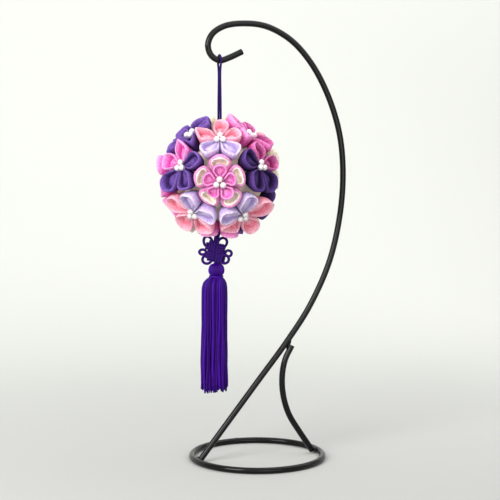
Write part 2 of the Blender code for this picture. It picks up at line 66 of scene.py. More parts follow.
# Stand
ROD = 4.0
RING_DIAMETER = 90.0
RING_RADIUS = (RING_DIAMETER - ROD) / 2
ARM_ROUTE = (
    (-39.2, 1.8), (-19.3, 26.7), (0.7, 51.6), (20.6, 76.4), (36.5, 99.1), (50.1, 127.2),
    (57.4, 155.7), (60.0, 184.2), (57.6, 211.8), (49.0, 238.1), (37.0, 259.0), (23.0, 273.5),
    (6.0, 282.0), (-9.9, 283.5), (-22.6, 281.5), (-30.6, 276.3), (-33.4, 269.0), (-31.1, 262.8),
    (-25.6, 259.8), (-19.8, 261.4), (-10.5, 265.6),
)
BRACE_ROUTE = (
    (24.2, 73.7), (19.4, 64.3), (17.4, 53.5), (18.1, 41.2), (22.1, 27.9), (29.9, 15.2), (39.0, 1.9),
)
ROD_STEP = 2.0
ROD_END = 0.3                   # how far a cut end is rounded
CAP_AREA = 3e-6                 # square metres: the faces of a cut end are larger than the rod's sides
CAP_ANGLE = 1.0                 # radians between faces: the edge of a cut end is sharper than this
SMOOTH_ANGLE = math.radians(35)
SEAM_WIDTH, SEAM_LIFT = 0.9, 0.09    # where the ring's rod is joined, behind
Weld = namedtuple("Weld", "name place size turn")
WELDS = (
    Weld("weld_arm_foot", (-40.7, 0.0, 2.7), (1.6, 2.2, 1.3), 0.6),
    Weld("weld_brace_foot", (40.8, 0.0, 2.8), (1.6, 2.2, 1.3), -0.6),
    Weld("weld_brace_head", (22.0, 0.0, 74.4), (0.8, 1.6, 3.4), 0.5),
)
WELD_GRAIN, WELD_RIPPLE = 900, 0.22    # how fine and how high the ripples on a weld are
WELD_LOWEST = 0.02              # a weld doesn't reach the floor

# Ball
BALL = Vector((-26.0, 0.0, 185.2))
FACING = math.radians(-107.85)  # which way the front flower looks, seen from above
CORE_RADIUS = 28.4
PETAL_SEAT = CORE_RADIUS + 0.7
PLAN_RADIUS = 35.0              # a flower's plan is laid on a ball of this radius
PETALS = 5
WEDGE = math.pi / PETALS
PETAL_HUB = 10.4                # how far out on a petal its walls to other petals are found
FRONT_EXTRA = math.radians(1.4)    # how far past half-way the front flower's walls are
NEAR = math.radians(52.0)       # petals further apart than this don't press each other
SOFT_EDGE = 0.045               # how early cloth begins to give way to a wall
PARTING = 0.1 / CORE_RADIUS     # between the cloth and a wall
PRESSES = 3                     # cloth pressed off one wall can meet the next
OVERSHOOT = 1.001
UNDER_EYE = 3.6                 # the lowest flower's open middle, where the knot's cord comes out
TINY = 1e-6                     # keeps a length or an angle from being nothing

# A petal is built of turns around it, from its seat on the core up over the rolled rim and down to
# the floor. An outline says how far from the flower's middle the turn starts, is widest and ends,
# and its lifts there. A row is set in from the petal's guide outline by a length, at most a share.
# Seat and heart are the middles of its two ends, each a distance out and a lift. The slope says how
# much further in a row is at the tip, easing how often its corners are rounded, and flank what part
# of the petal's length comes before its widest place, at most.
Outline = namedtuple("Outline", "inner middle tip lift_inner lift_middle lift_tip")
Row = namedtuple("Row", "inset share lift_inner lift_middle lift_tip")
Petal = namedtuple("Petal", "guide turns seat heart slope easing flank")
BASE = Outline(1.2, 9.6, 15.8, 0.0, 0.0, 0.0)
BELLY = Outline(1.2, 10.8, 18.8, 2.4, 4.6, 5.4)
SINGLE_PETAL = Petal(BELLY, (
    BASE, BELLY,
    Row(0.12, 0.04, 3.0, 6.4, 7.0), Row(0.35, 0.1, 3.8, 8.0, 8.6), Row(0.65, 0.17, 4.4, 9.2, 9.8),
    Row(0.95, 0.23, 4.8, 9.8, 10.4), Row(1.2, 0.28, 4.9, 9.8, 10.4), Row(1.42, 0.32, 4.7, 9.2, 9.8),
    Row(1.55, 0.35, 4.4, 7.9, 8.3), Row(1.66, 0.375, 4.1, 6.2, 6.5), Row(1.85, 0.42, 3.7, 4.7, 4.9),
    Row(2.5, 0.53, 3.8, 5.0, 5.2),
), (8.8, 0.0), (8.8, 5.9), 0.35, 12, 0.61)
FRONT_BELLY = Outline(1.2, 11.4, 18.5, 2.6, 4.2, 5.0)
OUTER_PETAL = Petal(FRONT_BELLY, (
    BASE, FRONT_BELLY,
    Row(0.15, 0.05, 2.9, 5.6, 6.2), Row(0.5, 0.13, 3.2, 6.9, 7.5), Row(1.0, 0.22, 3.5, 8.0, 8.6),
    Row(1.45, 0.28, 3.7, 8.6, 9.3), Row(1.85, 0.34, 3.7, 8.7, 9.4), Row(2.15, 0.38, 3.6, 8.2, 8.9),
    Row(2.3, 0.41, 3.0, 6.0, 6.6), Row(2.35, 0.42, 2.2, 2.6, 3.4),
), (9.0, 0.0), (9.0, 2.4), 0.4, 6, 0.7)
LINING_CUP = Petal(Outline(3.6, 11.4, 18.5, 2.6, 4.4, 5.2), (
    Row(2.45, 0.43, 2.6, 3.0, 3.8), Row(2.35, 0.41, 3.2, 6.0, 7.0), Row(2.2, 0.38, 3.6, 8.0, 8.9),
    Row(2.35, 0.41, 3.9, 8.8, 9.7), Row(2.65, 0.46, 4.0, 9.1, 10.0), Row(3.0, 0.51, 3.9, 8.8, 9.7),
    Row(3.3, 0.56, 3.6, 7.4, 8.2), Row(3.4, 0.58, 3.4, 5.8, 6.4), Row(3.8, 0.66, 3.4, 5.3, 5.7),
), (9.2, 2.9), (9.4, 5.3), 0.4, 6, 0.7)
INNER_BELLY = Outline(0.9, 5.9, 9.8, 8.4, 9.4, 10.0)
INNER_PETAL = Petal(INNER_BELLY, (
    Outline(0.9, 4.6, 7.2, 4.2, 5.0, 6.2), INNER_BELLY,
    Row(0.1, 0.05, 9.2, 10.4, 10.9), Row(0.35, 0.14, 10.0, 11.5, 12.0), Row(0.65, 0.24, 10.5, 12.2, 12.8),
    Row(0.95, 0.33, 10.6, 12.4, 13.0), Row(1.25, 0.42, 10.4, 12.1, 12.7), Row(1.45, 0.49, 10.1, 11.2, 11.7),
    Row(1.6, 0.55, 9.9, 10.5, 10.8), Row(2.0, 0.7, 9.8, 10.2, 10.4),
), (4.1, 5.0), (4.6, 10.2), 0.0, 2, 0.7)
SQUARENESS = 2.3                # of a petal's round end: 2 is an ellipse, more is squarer
ROUNDNESS = 1.12                # how far a petal's tip stands out, against half its width
SPINE_LEAD = 1.5                # cloth at the edge folds in to this much further along the spine
DEEPEST_FOLD = 0.97             # how far a row comes in towards the spine, at most
FLANK_PARTS = (0.0, 0.13, 0.26, 0.39, 0.52, 0.64, 0.76, 0.88, 1.0)
ARC_DEGREES = (83.0, 75.0, 67.0, 59.0, 50.0, 41.0, 31.0, 21.0, 10.0)
SEAM_PARTING = 0.07
LIFT_EASING = 4                 # how much more often lifts are rounded than corners
WALL_PARTS, RIM_PARTS = 3, 2    # rows that each gap of the wall, and of the rim, is filled with
FLOOR_PARTS = (0.3, 0.6, 0.85)  # rows on the hollow's floor, as shares of the way to the heart
HEART_SWELL = 0.35
FLOOR_SHADE, HEART_SHADE = 0.6, 0.25    # how much painted shade the hollow's floor has, at its edge and in its middle
TURN_RANGE = (-1.0, 1.0)        # degrees by which a petal is turned from its even place
REACH_RANGE = (-0.03, 0.01)     # by what share it is longer than planned
RISE_RANGE = (-2.8, 2.6)        # how much higher its tip is, in full from the rise lift up
RISE_LIFT = 6.0
WANDERS = ((0.16, 1.1), (0.5, 0.45))    # how fine and how strong the cloth's unevenness is
WANDER_LIFT = 3.0               # it is there in full this far above the seat
CLOTH_UNIT = 10.0               # millimetres of cloth to one of its UV map
SEAT_MARGIN, HEART_MARGIN = 0.5, 0.2    # of the UV map, from the last row to the seat and the heart

# A flower has its place on the ball, the turn and size of its petals, and the cloths of two of them
# and of the other three.
Flower = namedtuple("Flower", "name latitude longitude bearing size pair trio", defaults=(None, None))
FRONT = Flower("front", -2.5, 0.5, -36.0, 1.0)
SINGLES = (
    Flower("top", 47.0, 1.0, 180.0, 1.06, "lavender", "coral"),
    Flower("upper_left", 13.5, -46.0, -37.0, 1.06, "hot_pink", "purple"),
    Flower("upper_right", 13.5, 51.5, 40.0, 1.06, "mauve", "dark_purple"),
    Flower("lower_left", -39.5, -39.5, 55.0, 1.06, "lavender", "coral"),
    Flower("lower_right", -43.0, 36.5, -50.0, 1.06, "lavender", "coral"),
    Flower("crown_left", 52.5, -60.0, -130.0, 1.04, "purple", "purple"),
    Flower("crown_right", 51.5, 70.0, -53.0, 1.04, "pink", "mauve"),
    Flower("crown_back", 54.0, 180.0, 0.0, 1.04, "cream", "pink"),
    Flower("rear_left", 40.0, -121.0, -60.0, 1.06, "hot_pink", "purple"),
    Flower("rear_right", 41.0, 127.0, 30.0, 1.06, "mauve", "coral"),
    Flower("side_left", 1.0, -99.0, 90.0, 1.04, "hot_pink", "lavender"),
    Flower("side_right", 9.0, 105.0, -90.0, 1.04, "cream", "coral"),
    Flower("back_left", 0.0, -146.0, 100.0, 1.06, "lavender", "coral"),
    Flower("back_right", 4.0, 157.0, -20.0, 1.06, "hot_pink", "purple"),
    Flower("base_left", -42.0, -109.0, 54.0, 1.02, "pink", "cream"),
    Flower("base_right", -38.0, 107.0, -54.0, 1.02, "dark_purple", "cream"),
    Flower("base_back", -43.0, 178.0, 36.0, 1.02, "mauve", "dark_purple"),
    Flower("under", -90.0, 0.0, 0.0, 0.96, "pink", "purple"),
)

# Hanging cord: height, distance from the loop's own axis, turn from lying side by side.
CORD = 1.4
CORD_AXIS = (-25.7, 0.0)
CORD_ROUTE = (
    (214.0, 0.73, 0.0), (217.5, 0.73, 1.0), (222.0, 0.73, 6.0), (228.0, 0.73, 14.0),
    (234.0, 0.73, 24.0), (240.0, 0.74, 36.0), (246.0, 0.78, 48.0), (250.7, 0.95, 58.0),
    (254.6, 1.5, 66.0), (257.5, 2.75, 71.0), (259.9, 3.25, 72.15), (262.2, 2.3, 72.15),
)
CORD_TOP = 263.2
CORD_STEP, CORD_SIDES = 0.9, 14
CORD_LEAN = 0.35                # tips the line that the cord's rings are set out from, off the cord's
END_REACH, END_WIDTH = 0.3, 0.55    # a cord's rounded end, against its radius

# Beads, as heights of their middles from the ball's. A bore is a share of the bead's size.
BEAD_HEIGHT, FRONT_BEAD_HEIGHT = 35.3, 41.2
BEAD_TURNS = (0.0, 120.0, 240.0)
BEAD_SWING = (-6.0, 6.0)
BEAD_SINKING = (-0.25, 0.15)
BEAD_PARTING = 0.05
BORE_REACH = 0.975              # faces further from the middle than this, against the radius, go in
BORE_RIM, BORE_NARROWING, BORE_DEPTH = 0.03, 0.75, 0.14

# Knot, measured right and up from its own middle.
KNOT_RIGHT = -2.6
KNOT_HEIGHT = 136.6
KNOT_CORD = 1.8
KNOT_STEP, KNOT_SIDES = 0.7, 12
PAST_START = 3                  # points beyond which a closed cord's route looks for its end
Loop = namedtuple("Loop", "right up wide tall lean layer")
LOOPS = (
    Loop(-4.7, 7.2, 2.7, 3.6, 20.0, 0.5),
    Loop(4.6, 6.6, 2.8, 3.2, -35.0, -0.5),
    Loop(-8.2, 0.6, 2.2, 1.6, 0.0, 0.3),
    Loop(8.4, -0.4, 2.1, 1.9, 0.0, -0.3),
    Loop(-5.4, -4.2, 3.0, 2.8, 30.0, -0.5),
    Loop(5.8, -4.0, 2.9, 2.8, -30.0, 0.5),
)
LOOP_CORNERS = 12
LOOP_WEAVE = 0.35               # how far a loop's cord goes in and out on its way round
Patch = namedtuple("Patch", "right up length lean")
PATCHES = (
    Patch(-2.3, 3.9, 6.6, -12.0), Patch(2.7, 2.4, 6.0, 78.0),
    Patch(-2.6, -1.7, 6.2, 78.0), Patch(2.3, -3.2, 6.8, -12.0),
)
PATCH_CORDS = (-1.6, 0.0, 1.6)
PATCH_CORD = 1.62
PATCH_ARCH = ((-0.54, -0.1), (-0.42, 0.65), (-0.2, 1.15), (0.2, 1.15), (0.42, 0.65), (0.54, -0.1))
STEM = ((-0.4, 156.4), (-0.8, 150.5), (-1.8, 146.0), (-2.6, 138.0))
STEM_APART = KNOT_CORD * 0.47   # each of the stem's two cords from the line between them

# Tassel, as height and how far right for its line, and as radius and height for its head.
PLUMB = ((129.8, -1.9), (122.0, -2.0), (116.0, -3.2), (48.0, -3.6))
HEAD_PROFILE = (
    (0.9, 129.8), (2.2, 129.7), (3.6, 129.1), (4.6, 128.0), (5.1, 126.7), (5.3, 125.4), (5.1, 124.0),
    (4.5, 122.8), (3.9, 122.1), (3.7, 121.4), (3.7, 120.8), (4.2, 120.1), (5.1, 119.0), (5.9, 117.4),
    (6.3, 115.6), (5.9, 113.6),
)
HEAD_STEP = 0.5
TAIL_HEIGHTS = (KNOT_HEIGHT - 2.0, 133.0, HEAD_PROFILE[0][1] - 0.3)
RIBS, RIB_SIDES = 24, 6
RIB_DEPTH = 0.085               # against the head's radius
RIB_SHARPNESS = 0.7
RIB_TONES = (0.15, 0.95)
BINDING_TURNS, BINDING_STEP = 3, 12
BINDING_HEIGHT, BINDING_RISE = 121.0, 0.8
BINDING_RADIUS, BINDING_THREAD = 4.3, 0.42

# Skirt: rings of threads, each a radius and a number, and a thread's way down as a height, a share of
# the ring's radius, and how far out of it any thread and a loose thread stand there.
SKIRT_RINGS = ((7.6, 31), (6.5, 28), (5.3, 22), (4.0, 17), (2.6, 11), (1.0, 4))
SKIRT_FALL = (
    (121.3, 0.47, 0.0, 0.0), (120.3, 0.58, 0.0, 0.0), (118.8, 0.77, 0.0, 0.0), (117.0, 0.91, 0.0, 0.0),
    (114.6, 0.99, 0.0, 0.0), (108.0, 1.0, 0.1, 0.0), (98.0, 1.0, 0.2, 0.0), (88.0, 1.0, 0.0, 0.35),
    (77.0, 1.0, 0.0, 0.6), (66.0, 1.0, 0.0, 0.8), (57.0, 1.0, 0.0, 1.0),
)
SKIRT_END, SKIRT_END_LOOSE = 48.5, 1.3
SKIRT_WAVE = 0.5                # how far the skirt's end goes up and down, three times round
SKIRT_STEP, THREAD_SIDES = 4.0, 8
SKIRT_SWAY_FROM, SKIRT_LENGTH = 119.2, 70.0
SWAY_OUT = (0.4, 1.7, 0.16)     # how much a thread wavers, and how that differs by thread and height
SWAY_ROUND = (0.05, 2.3, 0.14)
THREAD_TURN = (-0.07, 0.07)
THREAD_DRIFT = (-0.1, 0.1)
THREAD_LOOSENESS = (-0.5, 0.45)
THREAD_END = (-2.4, 2.2)
THREAD_OUT = (-0.4, 0.35)
THREAD_WIDTH = (0.85, 1.12)
THREAD_START, THREAD_SWELL, THREAD_TAPER = 0.55, 0.15, 0.8

# Camera, fitted to the view of the ring foot and the arm.
CAMERA_PLACE = (-304.6, -864.9, 222.0)
CAMERA_DOWN = 5.253
CAMERA_LEFT = -19.1
CAMERA_LENS = 101.8
CAMERA_SENSOR = 36.0
CAMERA_NEAREST = 0.01


def srgb(red, green, blue):
    """A colour as a picture shows it, in the linear numbers that a shader takes."""
    def linear(value):
        value /= 255
        return value / 12.92 if value <= 0.04045 else ((value + 0.055) / 1.055) ** 2.4
    return (linear(red), linear(green), linear(blue))


# A cloth's rim colour is how it looks where lit; its fold colour is painted shade, for its hollows and the
# feet of its petals. The last number scales the painted light and shade of its crinkles together with its
# dye patches.
Cloth = namedtuple("Cloth", "label rim fold mottle", defaults=(1.0,))
CLOTHS = {
    "coral": Cloth("Coral", srgb(254, 194, 212), srgb(248, 138, 162), 0.8),
    "lavender": Cloth("Lavender", srgb(232, 216, 248), srgb(194, 170, 226), 0.7),
    "hot_pink": Cloth("Hot pink", srgb(250, 172, 230), srgb(228, 76, 176)),
    "pink": Cloth("Pink", srgb(246, 170, 220), srgb(226, 96, 180)),
    "mauve": Cloth("Mauve", srgb(226, 128, 190), srgb(172, 46, 110)),
    "purple": Cloth("Purple", srgb(130, 96, 182), srgb(54, 30, 92)),
    "dark_purple": Cloth("Dark purple", srgb(92, 64, 136), srgb(36, 20, 62)),
    "cream": Cloth("Cream", srgb(244, 238, 220), srgb(222, 208, 178), 0.5),
    "lining": Cloth("Lining", srgb(255, 250, 236), srgb(250, 232, 212), 0.3),
    "rose": Cloth("Rose", srgb(240, 156, 210), srgb(208, 108, 170)),
    "magenta": Cloth("Magenta", srgb(248, 160, 220), srgb(222, 84, 166)),
}

CRINKLE_GRAIN = 13.0            # grains of the petals' crepe, to one of the UV map
MOTTLE_RANGE = (0.36, 0.64)     # the part of the crepe's shade, painted light and shade of its crinkles with its dye patches, that goes into the colour
DARKER, LIGHTER = 0.23, 0.15    # how far that painted shade darkens the cloth's colour, and its painted light lightens it
# The core's cloth painted darker in the lows of its crinkles and lighter on their grains.
CORE_SHADED_AND_LIT = (srgb(206, 182, 168), srgb(238, 220, 204))
CORE_GRAIN = 700.0
CORE_DIMPLES, CORE_DIMPLE = 160, 0.4    # how fine and how deep the hollows in the core's cloth are

# Stage, in metres. A light's share is of the key light's power.
FLOOR_SIZE = 6.0
BACKDROP = 0.9                  # how far behind the stand the floor sweeps up
BACKDROP_HEIGHT = 3.0
SWEEP = 0.6                     # how far from their corner the bend between them begins
EDGE_REACH = 0.01               # an edge this near to the back of the floor is its back edge
FLOOR_REACHES = ((0.1, 0.65), (0.95, 1.8))    # where the painted lighter colours of the backdrop and of the far floor come in
WORLD_COLOUR = srgb(209, 208, 207)
Light = namedtuple("Light", "name place aim size share")
LIGHTS = (
    Light("key", (-0.96, -0.55, 0.6), (-0.03, 0.0, 0.19), 0.6, 1.0),
    Light("front_fill", (0.05, -1.35, 0.2), (-0.02, 0.0, 0.17), 0.9, 0.38),
    Light("low_fill", (-0.2, -0.7, 0.04), (-0.03, 0.0, 0.17), 0.5, 0.09),
    Light("backdrop_light", (0.3, 0.2, 0.8), (0.25, 0.95, 0.15), 1.2, 0.56),
)


# Settings

def colour_property(name, description, default):
    """A colour that the panel shows."""
    return FloatVectorProperty(name=name, description=description, subtype="COLOR", size=3,
                               min=0.0, max=1.0, default=default)


def cloth_settings():
    """Two colours for each cloth, lit on its rolled rims and painted shade in its folds, and how uneven the
    cloth is.
    """
    made = {}
    for key, cloth in CLOTHS.items():
        lit = f"{cloth.label} cloth where it is lit"
        deep = f"{cloth.label} cloth deep in a fold"
        made[f"{key}_rim"] = colour_property(f"{cloth.label} rim", lit, cloth.rim)
        made[f"{key}_fold"] = colour_property(f"{cloth.label} fold", deep, cloth.fold)
    made["crinkle"] = FloatProperty(name="Crinkle", description="Height of the cloth's crinkles",
                                    default=0.0009, min=0.0, max=0.002, unit="LENGTH")
    made["unevenness"] = FloatProperty(name="Unevenness", description="How far the folded rims wander",
                                       default=0.0003, min=0.0, max=0.001, unit="LENGTH")
    return made


class FlowerBallCloth(PropertyGroup):
    """Lit and painted shade colours of the petals' cloths, and their crinkle."""
    __annotations__ = cloth_settings()


class FlowerBallTrim(PropertyGroup):
    """Beads, cord, knot and tassel."""
    bead: FloatProperty(name="Bead", description="Diameter of a bead", default=0.004, min=0.002, max=0.006,
                        unit="LENGTH")
    bead_colour: colour_property("Bead colour", "Pearly white of the beads", srgb(228, 224, 229))
    cord_colour: colour_property("Cord colour", "Cord of the loop and the knot", srgb(38, 11, 82))
    tassel_colour: colour_property("Tassel colour", "Threads of the tassel", srgb(56, 6, 124))
    thread: FloatProperty(name="Thread", description="Width of a strand of the skirt", default=0.00135,
                          min=0.0003, max=0.002, unit="LENGTH")


class FlowerBallStand(PropertyGroup):
    """The wire stand."""
    paint_colour: colour_property("Paint", "Paint on the rod", srgb(9, 9, 10))
    segments: IntProperty(name="Rod sides", description="Sides of the rod", default=24, min=8, max=64)


class FlowerBallStage(PropertyGroup):
    """Floor and light."""
    # Painted light and shade: the floor is darker under the stand, paler on the backdrop and palest far
    # away, in place of the light's fall.
    shaded_floor_colour: colour_property("Floor", "Colour of the floor under the stand", srgb(179, 180, 177))
    backdrop_colour: colour_property("Backdrop", "Colour of the backdrop behind it", srgb(206, 208, 203))
    brightened_far_colour: colour_property("Far floor", "Colour of the floor away from the lights",
                                srgb(250, 250, 248))
    key_power: FloatProperty(name="Key light", description="Power of the soft light on the left",
                             default=13.0, min=0.0, max=100.0, unit="POWER")
    fill: FloatProperty(name="Fill", description="Strength of the light from all round", default=0.8,
                        min=0.0, max=3.0)


# Node groups and materials

def new_group(name, inputs, outputs):
    """A shader node group with its sockets, and its input and output nodes."""
    group = bpy.data.node_groups.new(name, "ShaderNodeTree")
    for label, kind, default in inputs:
        socket = group.interface.new_socket(name=label, in_out="INPUT", socket_type=kind)
        if default is not None:
            socket.default_value = default
    for label, kind in outputs:
        group.interface.new_socket(name=label, in_out="OUTPUT", socket_type=kind)
    return group, group.nodes.new("NodeGroupInput"), group.nodes.new("NodeGroupOutput")


def set_sockets(node, values):
    """Set a node's sockets by their names."""
    for name, value in values.items():
        node.inputs[name].default_value = value


def feed(tree, socket, value):
    """Join a socket to another one, or set it to a number or to a colour of three parts."""
    if hasattr(value, "is_output"):
        tree.links.new(value, socket)
    elif isinstance(value, (int, float)):
        socket.default_value = value
    else:
        socket.default_value = (*value, 1.0)


def math_node(tree, operation, *values):
    """A Math node on one or two values, each a socket or a number."""
    node = tree.nodes.new("ShaderNodeMath")
    node.operation = operation
    for socket, value in zip(node.inputs, values):
        feed(tree, socket, value)
    return node.outputs[0]


def weighed_sum(tree, first, first_weight, second, second_weight):
    """The sum of two values, each times its weight."""
    return math_node(tree, "ADD", math_node(tree, "MULTIPLY", first, first_weight),
                     math_node(tree, "MULTIPLY", second, second_weight))


def mix_colour(tree, factor, first, second, blend="MIX"):
    """A colour mix; each of the three is a socket or a value."""
    node = tree.nodes.new("ShaderNodeMix")
    node.data_type = "RGBA"
    node.blend_type = blend
    for place, value in ((0, factor), (6, first), (7, second)):
        feed(tree, node.inputs[place], value)
    return node.outputs[2]


def noise_node(tree, place, scale, detail=2.0, roughness=0.5):
    """A cloudy pattern at that place; its scale is a socket or a number."""
    node = tree.nodes.new("ShaderNodeTexNoise")
    set_sockets(node, {"Detail": detail, "Roughness": roughness})
    tree.links.new(place, node.inputs["Vector"])
    feed(tree, node.inputs["Scale"], scale)
    return node.outputs["Fac"]


def spread(tree, value, start, end, low, high, kind="LINEAR"):
    """What lies between start and end in a value, spread out from low to high."""
    node = tree.nodes.new("ShaderNodeMapRange")
    node.interpolation_type = kind
    set_sockets(node, {"From Min": start, "From Max": end, "To Min": low, "To Max": high})
    tree.links.new(value, node.inputs[0])
    return node.outputs[0]


def cloth_place(tree):
    """Where a point is on the piece's own UV map."""
    node = tree.nodes.new("ShaderNodeUVMap")
    node.uv_map = "cloth"
    return node.outputs[0]


def object_place(tree):
    """Where a point is on the object."""
    return tree.nodes.new("ShaderNodeTexCoord").outputs["Object"]


def attribute(tree, name):
    """A value that the mesh keeps at each of its points."""
    node = tree.nodes.new("ShaderNodeAttribute")
    node.attribute_name = name
    return node.outputs["Fac"]


def crinkle_group():
    """Crinkled crepe: uneven grains in rows, with painted light on the grains and painted shade in their
    lows, and broad patches where the dye took less.
    """
    group, given, out = new_group(
        "Crinkled crepe",
        [("Place", "NodeSocketVector", None), ("Grain", "NodeSocketFloat", 9.0)],
        [("Height", "NodeSocketFloat"), ("Shade", "NodeSocketFloat")])
    place, grain = given.outputs["Place"], given.outputs["Grain"]
    stretch = group.nodes.new("ShaderNodeMapping")
    stretch.inputs["Scale"].default_value = (1.0, 0.85, 1.0)
    group.links.new(place, stretch.inputs["Vector"])
    grains = group.nodes.new("ShaderNodeTexVoronoi")
    grains.feature = "SMOOTH_F1"
    grains.inputs["Smoothness"].default_value = 0.6
    group.links.new(stretch.outputs[0], grains.inputs["Vector"])
    group.links.new(grain, grains.inputs["Scale"])
    fibres = noise_node(group, stretch.outputs[0], math_node(group, "MULTIPLY", grain, 1.6),
                        detail=4.0, roughness=0.65)
    patches = noise_node(group, place, 1.3)
    height = weighed_sum(group, grains.outputs["Distance"], 0.8, fibres, 0.9)
    group.links.new(height, out.inputs["Height"])
    # Painted light and shade: lighter where the crinkles stand high, darker in their lows, with the dye's
    # patches added.
    shade = math_node(group, "SUBTRACT", weighed_sum(group, height, 1.1, patches, 0.25), 0.5)
    group.links.new(shade, out.inputs["Shade"])
    return group


def braid_group():
    """Two sets of strands laid round a cord one over the other. Place is turns round, then lengths. Its
    Shade is painted light on the strands' crests and painted shade in the grooves between them, with some
    random fluff.
    """
    group, given, out = new_group(
        "Braid",
        [("Place", "NodeSocketVector", None), ("Strands", "NodeSocketFloat", 4.0),
         ("Steepness", "NodeSocketFloat", 1.0)],
        [("Height", "NodeSocketFloat"), ("Shade", "NodeSocketFloat")])
    parts = group.nodes.new("ShaderNodeSeparateXYZ")
    group.links.new(given.outputs["Place"], parts.inputs[0])
    round_it = math_node(group, "MULTIPLY", parts.outputs[0], given.outputs["Strands"])
    along = math_node(group, "MULTIPLY", parts.outputs[1], given.outputs["Steepness"])
    lays = []
    for sign in ("ADD", "SUBTRACT"):
        phase = math_node(group, "MULTIPLY", math_node(group, sign, round_it, along), 2 * math.pi)
        lays.append(math_node(group, "ABSOLUTE", math_node(group, "SINE", phase)))
    height = math_node(group, "MAXIMUM", *lays)
    group.links.new(height, out.inputs["Height"])
    fluff = noise_node(group, given.outputs["Place"], 40.0)
    # Painted light and shade: high on the strands, low in the grooves.
    group.links.new(weighed_sum(group, height, 0.7, fluff, 0.3), out.inputs["Shade"])
    return group


PATTERNS = {"Crinkled crepe": crinkle_group, "Braid": braid_group}


def patterned(tree, name, place, values):
    """One of the shared patterns at that place, with its own values."""
    node = tree.nodes.new("ShaderNodeGroup")
    node.node_tree = bpy.data.node_groups.get(name) or PATTERNS[name]()
    set_sockets(node, values)
    tree.links.new(place, node.inputs["Place"])
    return node


def new_material(name):
    """A new material, its nodes and its Principled shader."""
    made = bpy.data.materials.new(name)
    made.use_nodes = True
    tree = made.node_tree
    return made, tree, tree.nodes["Principled BSDF"]


def add_bump(tree, shader, height, distance):
    """Raise the surface by that height, with the distance in metres where it is one."""
    bump = tree.nodes.new("ShaderNodeBump")
    bump.inputs["Distance"].default_value = distance
    tree.links.new(height, bump.inputs["Height"])
    tree.links.new(bump.outputs["Normal"], shader.inputs["Normal"])


def toned(colour, factor, added=0.0):
    """A colour made lighter or darker, up to white."""
    return tuple(min(1.0, part * factor + added) for part in colour)


def cloth_material(key, settings):
    """Matt crepe with painted shade: its lit rim colour turns to its fold colour in its folds and hollows,
    and its crinkles are painted darker in their lows.
    """
    name = f"crepe_{key}"
    found = bpy.data.materials.get(name)
    if found:
        return found
    rim = tuple(getattr(settings, f"{key}_rim"))
    fold = tuple(getattr(settings, f"{key}_fold"))
    mottle = CLOTHS[key].mottle
    made, tree, shader = new_material(name)
    crepe = patterned(tree, "Crinkled crepe", cloth_place(tree), {"Grain": CRINKLE_GRAIN})
    # Painted shade: the point's hollow value takes the lit rim colour over to the fold colour.
    folded = mix_colour(tree, attribute(tree, "hollow"), rim, fold)
    # Painted light and shade of the crinkles, with broad dye patches, laid over the colour.
    shade = spread(tree, crepe.outputs["Shade"], *MOTTLE_RANGE, 1 - DARKER * mottle, 1 + LIGHTER * mottle)
    grey = tree.nodes.new("ShaderNodeCombineColor")
    for socket in grey.inputs:
        tree.links.new(shade, socket)
    tree.links.new(mix_colour(tree, 1.0, folded, grey.outputs[0], "MULTIPLY"), shader.inputs["Base Color"])
    set_sockets(shader, {"Roughness": 0.88, "Specular IOR Level": 0.12, "Sheen Weight": 0.06,
                         "Sheen Roughness": 0.6, "Sheen Tint": (*toned(rim, 1.2, 0.05), 1.0)})
    add_bump(tree, shader, crepe.outputs["Height"], distance=settings.crinkle)
    return made


def cord_material(name, colour, roughness):
    """A braided cord, on its own UV map: turns round it, then millimetres along it. Its grooves have
    painted shade and its strands painted light.
    """
    found = bpy.data.materials.get(name)
    if found:
        return found
    made, tree, shader = new_material(name)
    braid = patterned(tree, "Braid", cloth_place(tree), {"Strands": 4.0, "Steepness": 0.8})
    # Painted shade in the braid's grooves and painted light on its strands.
    shaded = mix_colour(tree, braid.outputs["Shade"], toned(colour, 0.35), toned(colour, 1.8, 0.004))
    tree.links.new(shaded, shader.inputs["Base Color"])
    set_sockets(shader, {"Roughness": roughness, "Specular IOR Level": 0.07})
    add_bump(tree, shader, braid.outputs["Height"], distance=0.00008)
    return made


def thread_material(colour):
    """Lustrous thread, each one a little lighter or darker than the next, with painted shade in the grooves
    of its twist.
    """
    made, tree, shader = new_material("tassel_thread")
    twist = patterned(tree, "Braid", cloth_place(tree), {"Strands": 1.0, "Steepness": 0.45})
    lit = mix_colour(tree, attribute(tree, "tone"), toned(colour, 0.28), toned(colour, 1.7))
    # Painted shade in the twist's grooves, over each thread's own tone.
    shaded = mix_colour(tree, twist.outputs["Shade"], toned(colour, 0.45), lit)
    tree.links.new(shaded, shader.inputs["Base Color"])
    set_sockets(shader, {"Roughness": 0.45, "Specular IOR Level": 0.1, "Anisotropic": 0.5,
                         "Sheen Weight": 0.02, "Sheen Tint": (*toned(colour, 3), 1.0)})
    add_bump(tree, shader, twist.outputs["Height"], distance=0.00006)
    return made


def paint_material(colour):
    """Satin black paint with a faint orange peel and dust in it."""
    made, tree, shader = new_material("satin_black_paint")
    place = object_place(tree)
    peel = noise_node(tree, place, 900.0, detail=3.0)
    wear = noise_node(tree, place, 60.0, detail=5.0)
    shaded = mix_colour(tree, wear, toned(colour, 0.7), toned(colour, 1.6))
    tree.links.new(shaded, shader.inputs["Base Color"])
    tree.links.new(spread(tree, wear, 0.0, 1.0, 0.2, 0.28), shader.inputs["Roughness"])
    set_sockets(shader, {"Specular IOR Level": 0.14, "Coat Weight": 0.16, "Coat Roughness": 0.08})
    add_bump(tree, shader, peel, distance=0.00002)
    return made


